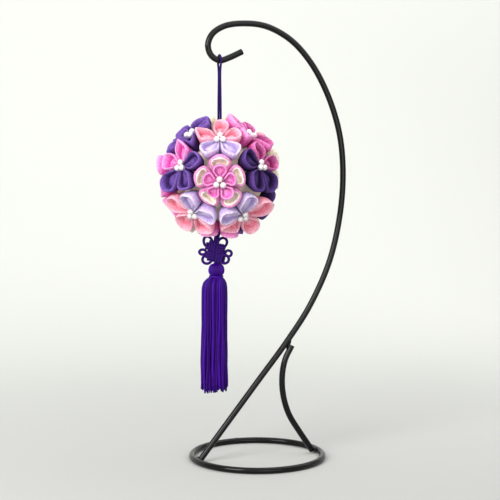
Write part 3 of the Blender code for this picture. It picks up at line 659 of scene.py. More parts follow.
def pearl_material(colour):
    """Pearly white with a clear coat, warmer in places."""
    made, tree, shader = new_material("white_pearl")
    cloud = noise_node(tree, object_place(tree), 350.0)
    warm = tuple(part * share for part, share in zip(colour, (1.0, 0.96, 0.9)))
    tree.links.new(mix_colour(tree, cloud, colour, warm), shader.inputs["Base Color"])
    set_sockets(shader, {"Roughness": 0.26, "Metallic": 0.5, "Coat Weight": 0.6, "Coat Roughness": 0.08,
                         "Sheen Weight": 0.1})
    return made


def core_material():
    """Pale cloth drawn over the ball's core, with painted shade in the lows of its crinkles."""
    made, tree, shader = new_material("wrapped_core")
    crepe = patterned(tree, "Crinkled crepe", object_place(tree), {"Grain": CORE_GRAIN})
    # Painted light and shade of the crinkles, from the crepe's shade.
    tree.links.new(mix_colour(tree, crepe.outputs["Shade"], *CORE_SHADED_AND_LIT), shader.inputs["Base Color"])
    set_sockets(shader, {"Roughness": 0.92, "Sheen Weight": 0.2})
    add_bump(tree, shader, crepe.outputs["Height"], distance=0.0001)
    return made


def backdrop_material(settings):
    """Matt and pale, with painted shade under the stand and painted light further from it: darker near the
    stand, paler on the backdrop and palest far away.
    """
    made, tree, shader = new_material("pale_backdrop")
    away = tree.nodes.new("ShaderNodeVectorMath")
    away.operation = "LENGTH"
    tree.links.new(object_place(tree), away.inputs[0])
    colour = tuple(settings.shaded_floor_colour)
    # Painted light: each step further from the stand is painted paler.
    for (near, far), beyond in zip(FLOOR_REACHES, (settings.backdrop_colour, settings.brightened_far_colour)):
        share = spread(tree, away.outputs["Value"], near, far, 0.0, 1.0, "SMOOTHSTEP")
        colour = mix_colour(tree, share, colour, tuple(beyond))
    tree.links.new(colour, shader.inputs["Base Color"])
    shader.inputs["Roughness"].default_value = 0.9
    return made


# Routes and meshes

def hermite(here, there, leave, arrive, t):
    """A point part of the way from here to there, on a curve that leaves and arrives as given."""
    return (here * (2 * t ** 3 - 3 * t ** 2 + 1) + leave * (t ** 3 - 2 * t ** 2 + t)
            + there * (3 * t ** 2 - 2 * t ** 3) + arrive * (t ** 3 - t ** 2))


def smooth_route(corners, step):
    """Points about one step apart on a smooth curve through the corners."""
    corners = [Vector(c) for c in corners]
    row = [2 * corners[0] - corners[1], *corners, 2 * corners[-1] - corners[-2]]
    route = [corners[0]]
    for before, here, there, after in zip(row, row[1:], row[2:], row[3:]):
        gaps = ((before, here), (here, there), (there, after))
        spans = [max((b - a).length, TINY) ** 0.5 for a, b in gaps]
        leave = spans[1] * ((here - before) / spans[0] - (there - before) / (spans[0] + spans[1])
                            + (there - here) / spans[1])
        arrive = spans[1] * ((there - here) / spans[1] - (after - here) / (spans[1] + spans[2])
                             + (after - there) / spans[2])
        parts = max(1, round((there - here).length / step))
        route += [hermite(here, there, leave, arrive, part / parts) for part in range(1, parts + 1)]
    return route


def closed_route(corners, step):
    """Points on a smooth ring through the corners, once round."""
    row = [*corners[-2:], *corners, *corners[:2]]
    route = smooth_route(row, step)
    gaps = [(p - row[2]).length for p in route]
    first = gaps.index(min(gaps))
    onwards = first + PAST_START
    left = [(p - row[-2]).length for p in route[onwards:]]
    return route[first:onwards + left.index(min(left))]


def placed(point):
    """A point in millimetres from the ring's middle, in the frame's metres."""
    return Vector((point[0] + MIDDLE_X, point[1], point[2])) * MM


def linked(name, data):
    """A new object of that data, in the scene."""
    made = bpy.data.objects.new(name, data)
    bpy.context.scene.collection.objects.link(made)
    return made


class Soft:
    """A mesh of cloth or cord being gathered: points, faces, UVs and one value a point."""

    def __init__(self, value_name):
        self.value_name = value_name
        self.points = []
        self.values = []
        self.faces = []
        self.uvs = []

    def row(self, points, value):
        """Add points with one value, or with a list of theirs, and give the number of the first."""
        start = len(self.points)
        self.points += points
        self.values += value if isinstance(value, list) else [value] * len(points)
        return start

    def face(self, corners, uvs):
        """Add a face with the places of its corners on the UV map."""
        self.faces.append(corners)
        self.uvs += uvs

    def band(self, low, high, low_round, high_round, low_along, high_along):
        """Faces between two rings. Round is each point's place on the UV map, and at its end the
        first point's again; along is the ring's place."""
        count = len(low_round) - 1
        for c in range(count):
            d = (c + 1) % count
            self.face((low + c, low + d, high + d, high + c),
                      [(low_round[c], low_along), (low_round[c + 1], low_along),
                       (high_round[c + 1], high_along), (high_round[c], high_along)])

    def cap(self, start, ring, along):
        """One face over a ring of points."""
        self.face(tuple(start + s for s in range(len(ring) - 1)), [(u, along) for u in ring[:-1]])

    def piece(self, name, material):
        """The gathered mesh as an object at the origin, its faces turned outwards."""
        mesh = bpy.data.meshes.new(name)
        mesh.from_pydata([placed(p) for p in self.points], [], self.faces)
        layer = mesh.uv_layers.new(name="cloth")
        for loop, uv in zip(layer.data, self.uvs):
            loop.uv = uv
        value = mesh.attributes.new(self.value_name, "FLOAT", "POINT")
        value.data.foreach_set("value", self.values)
        work = bmesh.new()
        work.from_mesh(mesh)
        bmesh.ops.recalc_face_normals(work, faces=work.faces)
        work.to_mesh(mesh)
        work.free()
        mesh.shade_smooth()
        mesh.materials.append(material)
        return linked(name, mesh)


def add_tube(soft, route, radii, sides, across, closed=False, value=0.5, round_ends=True):
    """A cord along a route: rings of points, with rounded ends where it stops."""
    if not closed and round_ends:
        first, last = (route[1] - route[0]).normalized(), (route[-1] - route[-2]).normalized()
        bulge = radii[0] * END_REACH
        route = [route[0] - first * bulge, *route, route[-1] + last * bulge]
        radii = [radii[0] * END_WIDTH, *radii, radii[-1] * END_WIDTH]
    count = len(route)
    turns = [2 * math.pi * s / sides for s in range(sides)]
    rows = []
    lengths = [0.0]
    for i, (at, radius) in enumerate(zip(route, radii)):
        before = route[i - 1] if (i or closed) else at
        after = route[(i + 1) % count] if (i + 1 < count or closed) else at
        along = (after - before).normalized()
        out = along.cross(across).normalized()
        up = out.cross(along)
        if i:
            lengths.append(lengths[-1] + (at - route[i - 1]).length)
        rows.append(soft.row([at + (out * math.cos(t) + up * math.sin(t)) * radius for t in turns], value))
    if closed:
        rows.append(rows[0])
        lengths.append(lengths[-1] + (route[0] - route[-1]).length)
    ring = [s / sides for s in range(sides + 1)]
    for low, high, start, end in zip(rows, rows[1:], lengths, lengths[1:]):
        soft.band(low, high, ring, ring, start, end)
    if not closed:
        soft.cap(rows[0], ring, lengths[0])
        soft.cap(rows[-1], ring, lengths[-1])


def keep(made, slot, *nodes):
    """The piece rides on the object's one body and stands for those solids."""
    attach(made, "root")
    if nodes:
        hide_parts(*nodes)


def only(made):
    """Select that object alone."""
    bpy.ops.object.select_all(action="DESELECT")
    made.select_set(True)
    bpy.context.view_layer.objects.active = made


def settled(name, material):
    """The active object, named, with its place put into its mesh and one material."""
    made = bpy.context.object
    made.name = name
    made.data.name = name
    bpy.ops.object.transform_apply(location=True, rotation=True, scale=True)
    made.data.materials.clear()
    made.data.materials.append(material)
    return made


def pick(made, kind, wanted):
    """Select those edges or faces of the mesh in edit mode that are wanted, and nothing else."""
    bpy.ops.mesh.select_all(action="DESELECT")
    work = bmesh.from_edit_mesh(made.data)
    for part in getattr(work, kind):
        if wanted(part):
            part.select_set(True)
    bmesh.update_edit_mesh(made.data)


def turn_outwards():
    """Turn all faces of the mesh in edit mode outwards, and leave edit mode."""
    bpy.ops.mesh.select_all(action="SELECT")
    bpy.ops.mesh.normals_make_consistent(inside=False)
    bpy.ops.object.mode_set(mode="OBJECT")


# Ball geometry

def ball_frame():
    """Forward and right on the ball, both level."""
    forward = Vector((math.cos(FACING), math.sin(FACING), 0.0))
    return forward, Vector((-forward.y, forward.x, 0.0))


def compass(flower):
    """The flower's axis on the ball, and its own up and right."""
    forward, right = ball_frame()
    lat, lon = math.radians(flower.latitude), math.radians(flower.longitude)
    level = forward * math.cos(lon) + right * math.sin(lon)
    axis = level * math.cos(lat) + Vector((0, 0, math.sin(lat)))
    north = Vector((0, 0, math.cos(lat))) - level * math.sin(lat)
    east = right * math.cos(lon) - forward * math.sin(lon)
    return axis, north, east


def plain_direction(flower, bearing, x, y):
    """Where a point of a petal, x along it and y across it, would lie if nothing pressed it."""
    axis, north, east = compass(flower)
    away = math.hypot(x, y) * flower.size / PLAN_RADIUS
    turn = math.radians(bearing) + math.atan2(y, x)
    return axis * math.cos(away) + (north * math.cos(turn) + east * math.sin(turn)) * math.sin(away)


def petal_bearing(flower, number):
    """Which way a petal points from its flower's middle, in degrees."""
    return flower.bearing + (number - 0.5) * 360 / PETALS


def petal_walls(flower, number):
    """Normals of the planes, through the ball's middle, that part a petal from other flowers'."""
    here = plain_direction(flower, petal_bearing(flower, number), PETAL_HUB, 0.0)
    walls = []
    for other in (FRONT, *SINGLES):
        if other is flower:
            continue
        for their_number in range(PETALS):
            there = plain_direction(other, petal_bearing(other, their_number), PETAL_HUB, 0.0)
            angle = here.angle(there)
            if angle > NEAR:
                continue
            share = angle / 2 + FRONT_EXTRA * ((flower is FRONT) - (other is FRONT))
            towards = (there - here * math.cos(angle)) / math.sin(angle)
            walls.append(towards * math.cos(share) - here * math.sin(share))
    return walls


def pressed(direction, walls):
    """Where cloth bound in that direction ends up, pressed back by the flowers beside it."""
    soft = PARTING + SOFT_EDGE
    for normal in walls:
        side = direction.dot(normal)
        if side > -soft:
            held = -PARTING - SOFT_EDGE * math.exp(-(side + soft) / SOFT_EDGE)
            direction = (direction + normal * (held - side)).normalized()
    for _ in range(PRESSES):
        for normal in walls:
            side = direction.dot(normal)
            if side > -PARTING:
                direction = (direction - normal * (side + PARTING) * OVERSHOOT).normalized()
    return direction


def round_end(degrees):
    """How far along and how far over a petal's round end is, at that angle of it."""
    along, over = math.cos(math.radians(degrees)), math.sin(math.radians(degrees))
    return along ** (2 / SQUARENESS), over ** (2 / SQUARENESS)


def outline_turn(outline, eye):
    """An outline from the inner left corner by the tip to the right: x, y, and the shares that its
    inner, middle and tip lifts have there."""
    inner = outline.inner + eye
    half = outline.middle * math.tan(WEDGE) - SEAM_PARTING
    row = []
    for part in FLANK_PARTS:
        x = inner + part * (outline.middle - inner)
        row.append((x, x * math.tan(WEDGE) - SEAM_PARTING, Vector((1 - part, part, 0.0))))
    for degrees in ARC_DEGREES:
        along, over = round_end(degrees)
        share = math.cos(math.radians(degrees))
        row.append((outline.middle + (outline.tip - outline.middle) * along, half * over,
                    Vector((0.0, 1 - share, share))))
    left = [(x, -y, shares) for x, y, shares in row]
    return [*left, (outline.tip, 0.0, Vector((0.0, 0.0, 1.0))), *reversed(row)]


def bowed(edge, centre):
    """The edge with its outer end cut back to a round bow from side to tip to side."""
    middle = len(edge) // 2
    flank = len(FLANK_PARTS)
    edge = list(edge)
    sides = (edge[flank - 1] - centre, edge[-flank] - centre)
    tip = edge[middle] - centre
    tip *= min(1.0, ROUNDNESS * (sides[0].length + sides[1].length) / 2 / tip.length)
    edge[middle] = (centre + tip).normalized()
    for side, sign in zip(sides, (-1, 1)):
        for steps, degrees in enumerate(reversed(ARC_DEGREES), start=1):
            column = middle + sign * steps
            along, over = round_end(degrees)
            bow = tip * along + side * over
            away = edge[column] - centre
            edge[column] = (centre + away * min(1.0, bow.length / away.length)).normalized()
    return edge


def eased(row, times, level_out):
    """The row with its corners rounded that often, its two ends left where they are."""
    for _ in range(times):
        between = [level_out(a + 2 * b + c) for a, b, c in zip(row, row[1:], row[2:])]
        row = [row[0], *between, row[-1]]
    return row


def plan_angle(length, flower):
    """The angle at the ball's centre of a length in a flower's plan."""
    return length * flower.size / PLAN_RADIUS


def fold_in(edge, spine, row, steeper, flower):
    """Where a row runs between a point of the petal's edge and the spine."""
    part = min(plan_angle(row.inset, flower) / max(edge.angle(spine), TINY), row.share)
    return edge.lerp(spine, min(DEEPEST_FOLD, part * steeper)).normalized()


def at_lift(direction, lift, flower):
    """The point in that direction from the ball's middle, that far above the petals' seat."""
    return direction * (PETAL_SEAT + lift * flower.size)


def through(rows, parts):
    """Rows of points with smooth rows between them, parts for each gap, and each row's place."""
    columns = [[row[c] for row in rows] for c in range(len(rows[0]))]
    filled = []
    places = []
    for gap, count in enumerate(parts):
        for part in range(count):
            t = part / count
            places.append(gap + t)
            row = []
            for column in columns:
                here, there = column[gap], column[gap + 1]
                before = column[gap - 1] if gap else here
                after = column[gap + 2] if gap + 2 < len(column) else there
                row.append(hermite(here, there, (there - before) / 2, (after - here) / 2, t))
            filled.append(row)
    filled.append(rows[-1])
    places.append(float(len(parts)))
    return filled, places


def petal_turns(flower, walls, number, petal, eye, chance):
    """The turns of one petal as rows of points from the ball's middle, and its seat and heart."""
    bearing = petal_bearing(flower, number) + chance.uniform(*TURN_RANGE)
    reach = 1 + chance.uniform(*REACH_RANGE)
    rise = chance.uniform(*RISE_RANGE)
    before, after = (number - 1) % PETALS, (number + 1) % PETALS
    columns = 2 * (len(FLANK_PARTS) + len(ARC_DEGREES)) + 1
    pressing = [walls[number]] * columns
    for c in range(len(FLANK_PARTS)):
        pressing[c] = walls[before] + walls[number]
        pressing[-1 - c] = walls[number] + walls[after]

    def on_spine(x):
        return pressed(plain_direction(flower, bearing, x, 0.0), walls[number])

    length = compass(flower)[0].angle(on_spine(petal.guide.tip * reach)) / plan_angle(1, flower)
    middle = min(petal.guide.middle, length * petal.flank)

    def laid_edge(outline):
        held = outline._replace(middle=min(outline.middle, middle))
        edge = [pressed(plain_direction(flower, bearing, x * reach, y), near)
                for (x, y, _), near in zip(outline_turn(held, eye), pressing)]
        return eased(bowed(edge, on_spine(held.middle)), petal.easing, Vector.normalized)

    turn = outline_turn(petal.guide, eye)
    edge = laid_edge(petal.guide)
    spine = [on_spine(min(SPINE_LEAD * x, middle)) for x, _, _ in turn]
    rows = []
    for level in petal.turns:
        if isinstance(level, Outline):
            directions = laid_edge(level)
        else:
            directions = [fold_in(e, s, level, 1 + petal.slope * shares.z, flower)
                          for e, s, (_, _, shares) in zip(edge, spine, turn)]
        level_lifts = Vector((level.lift_inner, level.lift_middle, level.lift_tip))
        lifts = []
        for _, _, shares in turn:
            lift = shares.dot(level_lifts)
            lifts.append(lift + rise * shares.z * min(1.0, lift / RISE_LIFT))
        lifts = eased(lifts, petal.easing + LIFT_EASING, lambda total: total / 4)
        rows.append([at_lift(direction, lift, flower) for direction, lift in zip(directions, lifts)])
    ends = [at_lift(on_spine(min(out, middle)), lift, flower) for out, lift in (petal.seat, petal.heart)]
    return rows, *ends


def add_petal(soft, flower, walls, number, petal, eye, unevenness, chance):
    """One petal: from its seat on the core, up over its rolled rim and down to the hollow's floor."""
    rows, seat, heart = petal_turns(flower, walls, number, petal, eye, chance)
    columns = len(rows[0])
    # Painted shade: a row's hollow value is how far towards its fold colour it is painted, nothing on the
    # rim's top and in full at the petal's foot and deep down its inner wall; the floor is painted lighter
    # again towards the heart.
    top = max(level.lift_middle for level in petal.turns)
    painted_shades = [min(1.0, (top - level.lift_middle) / (top - petal.heart[1])) for level in petal.turns]
    painted_shades[-1] *= FLOOR_SHADE
    rows, places = through(rows, [WALL_PARTS] * 2 + [RIM_PARTS] * (len(rows) - 3))
    values = []
    for place in places:
        low = min(int(place), len(painted_shades) - 2)
        values.append(painted_shades[low] + (painted_shades[low + 1] - painted_shades[low]) * (place - low))
    floor = rows[-1]
    for part in FLOOR_PARTS:
        swell = heart.normalized() * HEART_SWELL * math.sin(math.pi * part)
        rows.append([p.lerp(heart, part) + swell for p in floor])
        values.append(FLOOR_SHADE - (FLOOR_SHADE - HEART_SHADE) * part)

    def uneven(place):
        wander = unevenness * sum(noise.noise(place * fine) * strong for fine, strong in WANDERS)
        share = min(1.0, (place.length - PETAL_SEAT) / WANDER_LIFT)
        return BALL + place + place.normalized() * wander * share

    starts = []
    along = [0.0]
    around = []
    for row, value, next_row in zip(rows, values, [*rows[1:], rows[-1]]):
        starts.append(soft.row([uneven(p) for p in row], value))
        along.append(along[-1] + sum((b - a).length for a, b in zip(row, next_row)) / columns / CLOTH_UNIT)
        run = [0.0]
        for a, b in zip(row, [*row[1:], row[0]]):
            run.append(run[-1] + (b - a).length / CLOTH_UNIT)
        around.append([r - run[-1] / 2 for r in run])
    low = soft.row([uneven(seat)], 1.0)
    high = soft.row([uneven(heart)], HEART_SHADE)
    for r, (start, above) in enumerate(zip(starts, starts[1:])):
        soft.band(start, above, around[r], around[r + 1], along[r], along[r + 1])
    for c in range(columns):
        d = (c + 1) % columns
        u, v = around[0][c], around[0][c + 1]
        soft.face((starts[0] + d, starts[0] + c, low), [(v, 0.0), (u, 0.0), (0.0, -SEAT_MARGIN)])
        u, v = around[-1][c], around[-1][c + 1]
        soft.face((starts[-1] + c, starts[-1] + d, high),
                  [(u, along[-1]), (v, along[-1]), (0.0, along[-1] + HEART_MARGIN)])


def add_flower(name, slot, flower, petal, numbers, cloth, settings, replaces, eye=0.0, steadiness=1.0):
    """The petals of one cloth as a piece, in place of their solid."""
    walls = [petal_walls(flower, number) for number in range(PETALS)]
    unevenness = settings.unevenness / MM / steadiness
    # Each point keeps its share of painted shade under the name hollow.
    soft = Soft("hollow")
    for number in numbers:
        chance = random.Random(f"{flower.name} {number}")
        add_petal(soft, flower, walls, number, petal, eye, unevenness, chance)
    keep(soft.piece(name, cloth_material(cloth, settings)), slot, replaces)


# Knot and tassel geometry

def hung(right, up, towards):
    """A point beside the line that the knot and tassel hang on."""
    forward, sideways = ball_frame()
    level = BALL + sideways * right + forward * towards
    return Vector((level.x, level.y, up))


def plumb(up):
    """How far right the tassel's middle is at that height."""
    for (high, right), (low, next_right) in zip(PLUMB, PLUMB[1:]):
        if up >= low:
            return right + (next_right - right) * (high - up) / (high - low)
    return PLUMB[-1][1]


def round_plumb(reach, turn, up):
    """A point that far out from the tassel's middle, turned away from straight ahead."""
    return hung(plumb(up) + reach * math.sin(turn), up, reach * math.cos(turn))


def sway(kind, number, up):
    """How far the thread of that number wavers at that height."""
    much, by_thread, by_height = kind
    return much * math.sin(number * by_thread + up * by_height)


# Operators

class FLOWERBALL_OT_stage(Operator):
    """Floor, soft lights and the camera"""
    bl_idname = "flowerball.stage"
    bl_label = "Stage"

    def floor(self, settings):
        """A floor that sweeps up into a backdrop."""
        bpy.ops.object.select_all(action="DESELECT")
        bpy.ops.mesh.primitive_plane_add(size=FLOOR_SIZE, location=(0.0, BACKDROP - FLOOR_SIZE / 2, 0.0))
        made = bpy.context.object
        made.name = "backdrop"
        bpy.ops.object.transform_apply(location=True, rotation=False, scale=True)
        bpy.ops.object.mode_set(mode="EDIT")

        def at_foot(edge):
            return all(v.co.y > BACKDROP - EDGE_REACH and v.co.z < EDGE_REACH for v in edge.verts)

        pick(made, "edges", at_foot)
        bpy.ops.mesh.extrude_region_move(TRANSFORM_OT_translate={"value": (0, 0, BACKDROP_HEIGHT)})
        pick(made, "edges", at_foot)
        bpy.ops.mesh.bevel(offset=SWEEP, segments=24, affect="EDGES")
        turn_outwards()
        made.data.shade_smooth()
        made.data.materials.append(backdrop_material(settings))

    def execute(self, context):
        settings = context.scene.flowerball_stage
        camera = linked("camera", bpy.data.cameras.new("camera"))
        camera.location = placed(CAMERA_PLACE)
        camera.rotation_euler = (math.radians(90 - CAMERA_DOWN), 0.0, math.radians(CAMERA_LEFT))
        camera.data.lens = CAMERA_LENS
        camera.data.sensor_width = CAMERA_SENSOR
        camera.data.clip_start = CAMERA_NEAREST
        context.scene.camera = camera

        self.floor(settings)
        world = bpy.data.worlds.new("studio")
        context.scene.world = world
        world.use_nodes = True
        set_sockets(world.node_tree.nodes["Background"],
                    {"Color": (*WORLD_COLOUR, 1.0), "Strength": settings.fill})
        for row in LIGHTS:
            light = linked(row.name, bpy.data.lights.new(row.name, "AREA"))
            light.data.size = row.size
            light.data.energy = settings.key_power * row.share
            light.location = row.place
            light.rotation_euler = (Vector(row.aim) - Vector(row.place)).to_track_quat("-Z", "Y").to_euler()
        context.scene.view_settings.view_transform = "Standard"
        return {"FINISHED"}


class FLOWERBALL_OT_hanging_cord(Operator):
    """The loop of cord between the ball and the hook"""
    bl_idname = "flowerball.hanging_cord"
    bl_label = "Hanging cord"

    def strand(self, sign):
        """One side of the loop, from the ball up."""
        row = []
        for height, apart, turned in CORD_ROUTE:
            turn = FACING + math.pi / 2 - math.radians(turned)
            row.append((CORD_AXIS[0] + sign * apart * math.cos(turn),
                        CORD_AXIS[1] + sign * apart * math.sin(turn), height))
        return row

    def execute(self, context):
        top = (*CORD_AXIS, CORD_TOP)
        route = smooth_route([*self.strand(1), top, *reversed(self.strand(-1))], CORD_STEP)
        soft = Soft("tone")
        across = Vector((math.cos(FACING), math.sin(FACING), CORD_LEAN)).normalized()
        add_tube(soft, route, [CORD / 2] * len(route), CORD_SIDES, across, round_ends=False)
        colour = toned(context.scene.flowerball_trim.cord_colour, 0.6)
        made = soft.piece("hanging_loop", cord_material("braided_loop", colour, roughness=0.8))
        keep(made, "violet_cord", "hanging_cord")
        return {"FINISHED"}


class FLOWERBALL_OT_stand(Operator):
    """Ring foot, arm with its hook, brace and the welds between them"""
    bl_idname = "flowerball.stand"
    bl_label = "Wire stand"

    def ring(self, sides, material):
        """The ring foot, with the small swelling where its rod is joined."""
        bpy.ops.object.select_all(action="DESELECT")
        bpy.ops.mesh.primitive_torus_add(
            major_radius=RING_RADIUS * MM, minor_radius=ROD / 2 * MM, major_segments=160,
            minor_segments=sides, location=placed((0.0, 0.0, ROD / 2)))
        made = settled("ring_foot", material)
        seam = placed((0.0, RING_RADIUS, ROD / 2))
        for vertex in made.data.vertices:
            near = math.exp(-((vertex.co.x - seam.x) / (SEAM_WIDTH * MM)) ** 2) * (vertex.co.y > 0)
            centre = Vector((vertex.co.x, seam.y, seam.z))
            lifted = centre + (vertex.co - centre) * (1 + SEAM_LIFT * near)
            vertex.co = Vector((lifted.x, lifted.y, max(lifted.z, 0.0)))
        made.data.shade_smooth()
        return made

    def rod(self, name, corners, sides, material):
        """A bent rod with its cut ends eased."""
        curve = bpy.data.curves.new(name, "CURVE")
        curve.dimensions = "3D"
        curve.bevel_depth = ROD / 2 * MM
        curve.bevel_resolution = sides // 4 - 1
        curve.use_fill_caps = True
        route = smooth_route([(x, 0.0, z) for x, z in corners], ROD_STEP)
        spline = curve.splines.new("POLY")
        spline.points.add(len(route) - 1)
        for point, at in zip(spline.points, route):
            point.co = (*placed(at), 1.0)
        made = linked(name, curve)
        only(made)
        bpy.ops.object.convert(target="MESH")
        bpy.ops.object.mode_set(mode="EDIT")
        bpy.ops.mesh.select_all(action="SELECT")
        bpy.ops.mesh.remove_doubles(threshold=TINY)

        def round_a_cap(edge):
            capped = any(len(face.verts) > 4 or face.calc_area() > CAP_AREA for face in edge.link_faces)
            return capped and len(edge.link_faces) == 2 and edge.calc_face_angle(0.0) > CAP_ANGLE

        pick(made, "edges", round_a_cap)
        bpy.ops.mesh.bevel(offset=ROD_END * MM, segments=3, affect="EDGES")
        turn_outwards()
        bpy.ops.object.shade_smooth_by_angle(angle=SMOOTH_ANGLE)
        return settled(name, material)

    def weld(self, row, material):
        """A small run of weld metal, uneven like a real one."""
        bpy.ops.object.select_all(action="DESELECT")
        bpy.ops.mesh.primitive_uv_sphere_add(segments=24, ring_count=14, radius=MM, scale=row.size,
                                             location=placed(row.place), rotation=(0.0, row.turn, 0.0))
        made = settled(row.name, material)
        for vertex in made.data.vertices:
            ripple = noise.noise(vertex.co * WELD_GRAIN) * WELD_RIPPLE * MM
            vertex.co += vertex.normal * ripple
            vertex.co.z = max(vertex.co.z, WELD_LOWEST * MM)
        made.data.shade_smooth()
        return made

    def execute(self, context):
        settings = context.scene.flowerball_stand
        paint = paint_material(tuple(settings.paint_colour))
        keep(self.ring(settings.segments, paint), "black_paint", "stand_ring")
        keep(self.rod("arm_and_hook", ARM_ROUTE, settings.segments, paint), "black_paint", "stand_arm")
        keep(self.rod("brace", BRACE_ROUTE, settings.segments, paint), "black_paint", "stand_brace")
        for row in WELDS:
            keep(self.weld(row, paint), "black_paint")
        return {"FINISHED"}


class FLOWERBALL_OT_core(Operator):
    """The cream form under the flowers"""
    bl_idname = "flowerball.core"
    bl_label = "Ball core"

    def execute(self, context):
        bpy.ops.object.select_all(action="DESELECT")
        bpy.ops.mesh.primitive_ico_sphere_add(subdivisions=5, radius=CORE_RADIUS * MM,
                                              location=placed(BALL))
        core = settled("wrapped_core", core_material())
        for vertex in core.data.vertices:
            dimple = abs(noise.noise(vertex.co * CORE_DIMPLES)) * CORE_DIMPLE * MM
            vertex.co -= vertex.normal * dimple
        core.data.shade_smooth()
        keep(core, "core_cloth", "ball_core")
        return {"FINISHED"}


class FLOWERBALL_OT_single_flowers(Operator):
    """Eighteen flowers, each of five petals in one or two cloths"""
    bl_idname = "flowerball.single_flowers"
    bl_label = "Single flowers"

    def execute(self, context):
        settings = context.scene.flowerball_cloth
        for flower in SINGLES:
            eye = UNDER_EYE - BASE.inner if flower.name == "under" else 0.0
            for group, numbers, cloth in (("pair", (0, 1), flower.pair), ("trio", (2, 3, 4), flower.trio)):
                add_flower(f"petals_{flower.name}_{group}", cloth, flower, SINGLE_PETAL, numbers, cloth,
                           settings, f"flower_{flower.name}_{group}", eye)
        return {"FINISHED"}


class FLOWERBALL_OT_front_flower(Operator):
    """The double flower: five lined petals, and five small ones over their middle"""
    bl_idname = "flowerball.front_flower"
    bl_label = "Front flower"

    def execute(self, context):
        settings = context.scene.flowerball_cloth
        every = tuple(range(PETALS))
        add_flower("outer_petals", "rose", FRONT, OUTER_PETAL, every, "rose", settings, "front_outer")
        for number in every:
            add_flower(f"lining_{number + 1}", "cream", FRONT, LINING_CUP, (number,), "lining", settings,
                       f"front_lining_{number + 1}", steadiness=3.0)
        add_flower("inner_petals", "magenta", FRONT, INNER_PETAL, every, "magenta", settings, "front_inner")
        return {"FINISHED"}


class FLOWERBALL_OT_beads(Operator):
    """Three pearly beads in the middle of each flower but the lowest"""
    bl_idname = "flowerball.beads"
    bl_label = "Beads"

    def bead(self, size):
        """One bead with the ends of its bore, to be copied."""
        bpy.ops.object.select_all(action="DESELECT")
        bpy.ops.mesh.primitive_uv_sphere_add(segments=28, ring_count=18, radius=size / 2)
        made = bpy.context.object
        bpy.ops.object.mode_set(mode="EDIT")
        for sign in (1, -1):
            inwards = -sign * size
            pick(made, "faces", lambda face: face.calc_center_median().z * sign > size / 2 * BORE_REACH)
            bpy.ops.mesh.extrude_region_move(TRANSFORM_OT_translate={"value": (0, 0, inwards * BORE_RIM)})
            bpy.ops.transform.resize(value=(BORE_NARROWING, BORE_NARROWING, 1.0),
                                     center_override=(0, 0, -inwards / 2))
            bpy.ops.mesh.extrude_region_move(TRANSFORM_OT_translate={"value": (0, 0, inwards * BORE_DEPTH)})
        turn_outwards()
        made.data.shade_smooth()
        return made

    def execute(self, context):
        settings = context.scene.flowerball_trim
        pearl = pearl_material(tuple(settings.bead_colour))
        pattern = self.bead(settings.bead)
        out = settings.bead / MM / 2 / math.cos(math.pi / 6) + BEAD_PARTING
        for flower in (FRONT, *SINGLES[:-1]):
            axis, north, east = compass(flower)
            height = FRONT_BEAD_HEIGHT if flower is FRONT else BEAD_HEIGHT
            chance = random.Random(f"beads {flower.name}")
            gathered = bmesh.new()
            for turn in BEAD_TURNS:
                bearing = math.radians(turn + chance.uniform(*BEAD_SWING))
                beside = (north * math.cos(bearing) + east * math.sin(bearing)) * out
                at = placed(BALL + axis * (height + chance.uniform(*BEAD_SINKING)) + beside)
                lie = Vector([chance.uniform(-1, 1) for _ in range(3)])
                bore = lie.cross(axis).to_track_quat("Z", "Y").to_matrix().to_4x4()
                shape = pattern.data.copy()
                shape.transform(Matrix.Translation(at) @ bore)
                gathered.from_mesh(shape)
                bpy.data.meshes.remove(shape)
            mesh = bpy.data.meshes.new(f"beads_{flower.name}")
            gathered.to_mesh(mesh)
            gathered.free()
            mesh.shade_smooth()
            mesh.materials.append(pearl)
            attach(linked(f"beads_{flower.name}", mesh), "root")
        bpy.data.objects.remove(pattern)
        return {"FINISHED"}


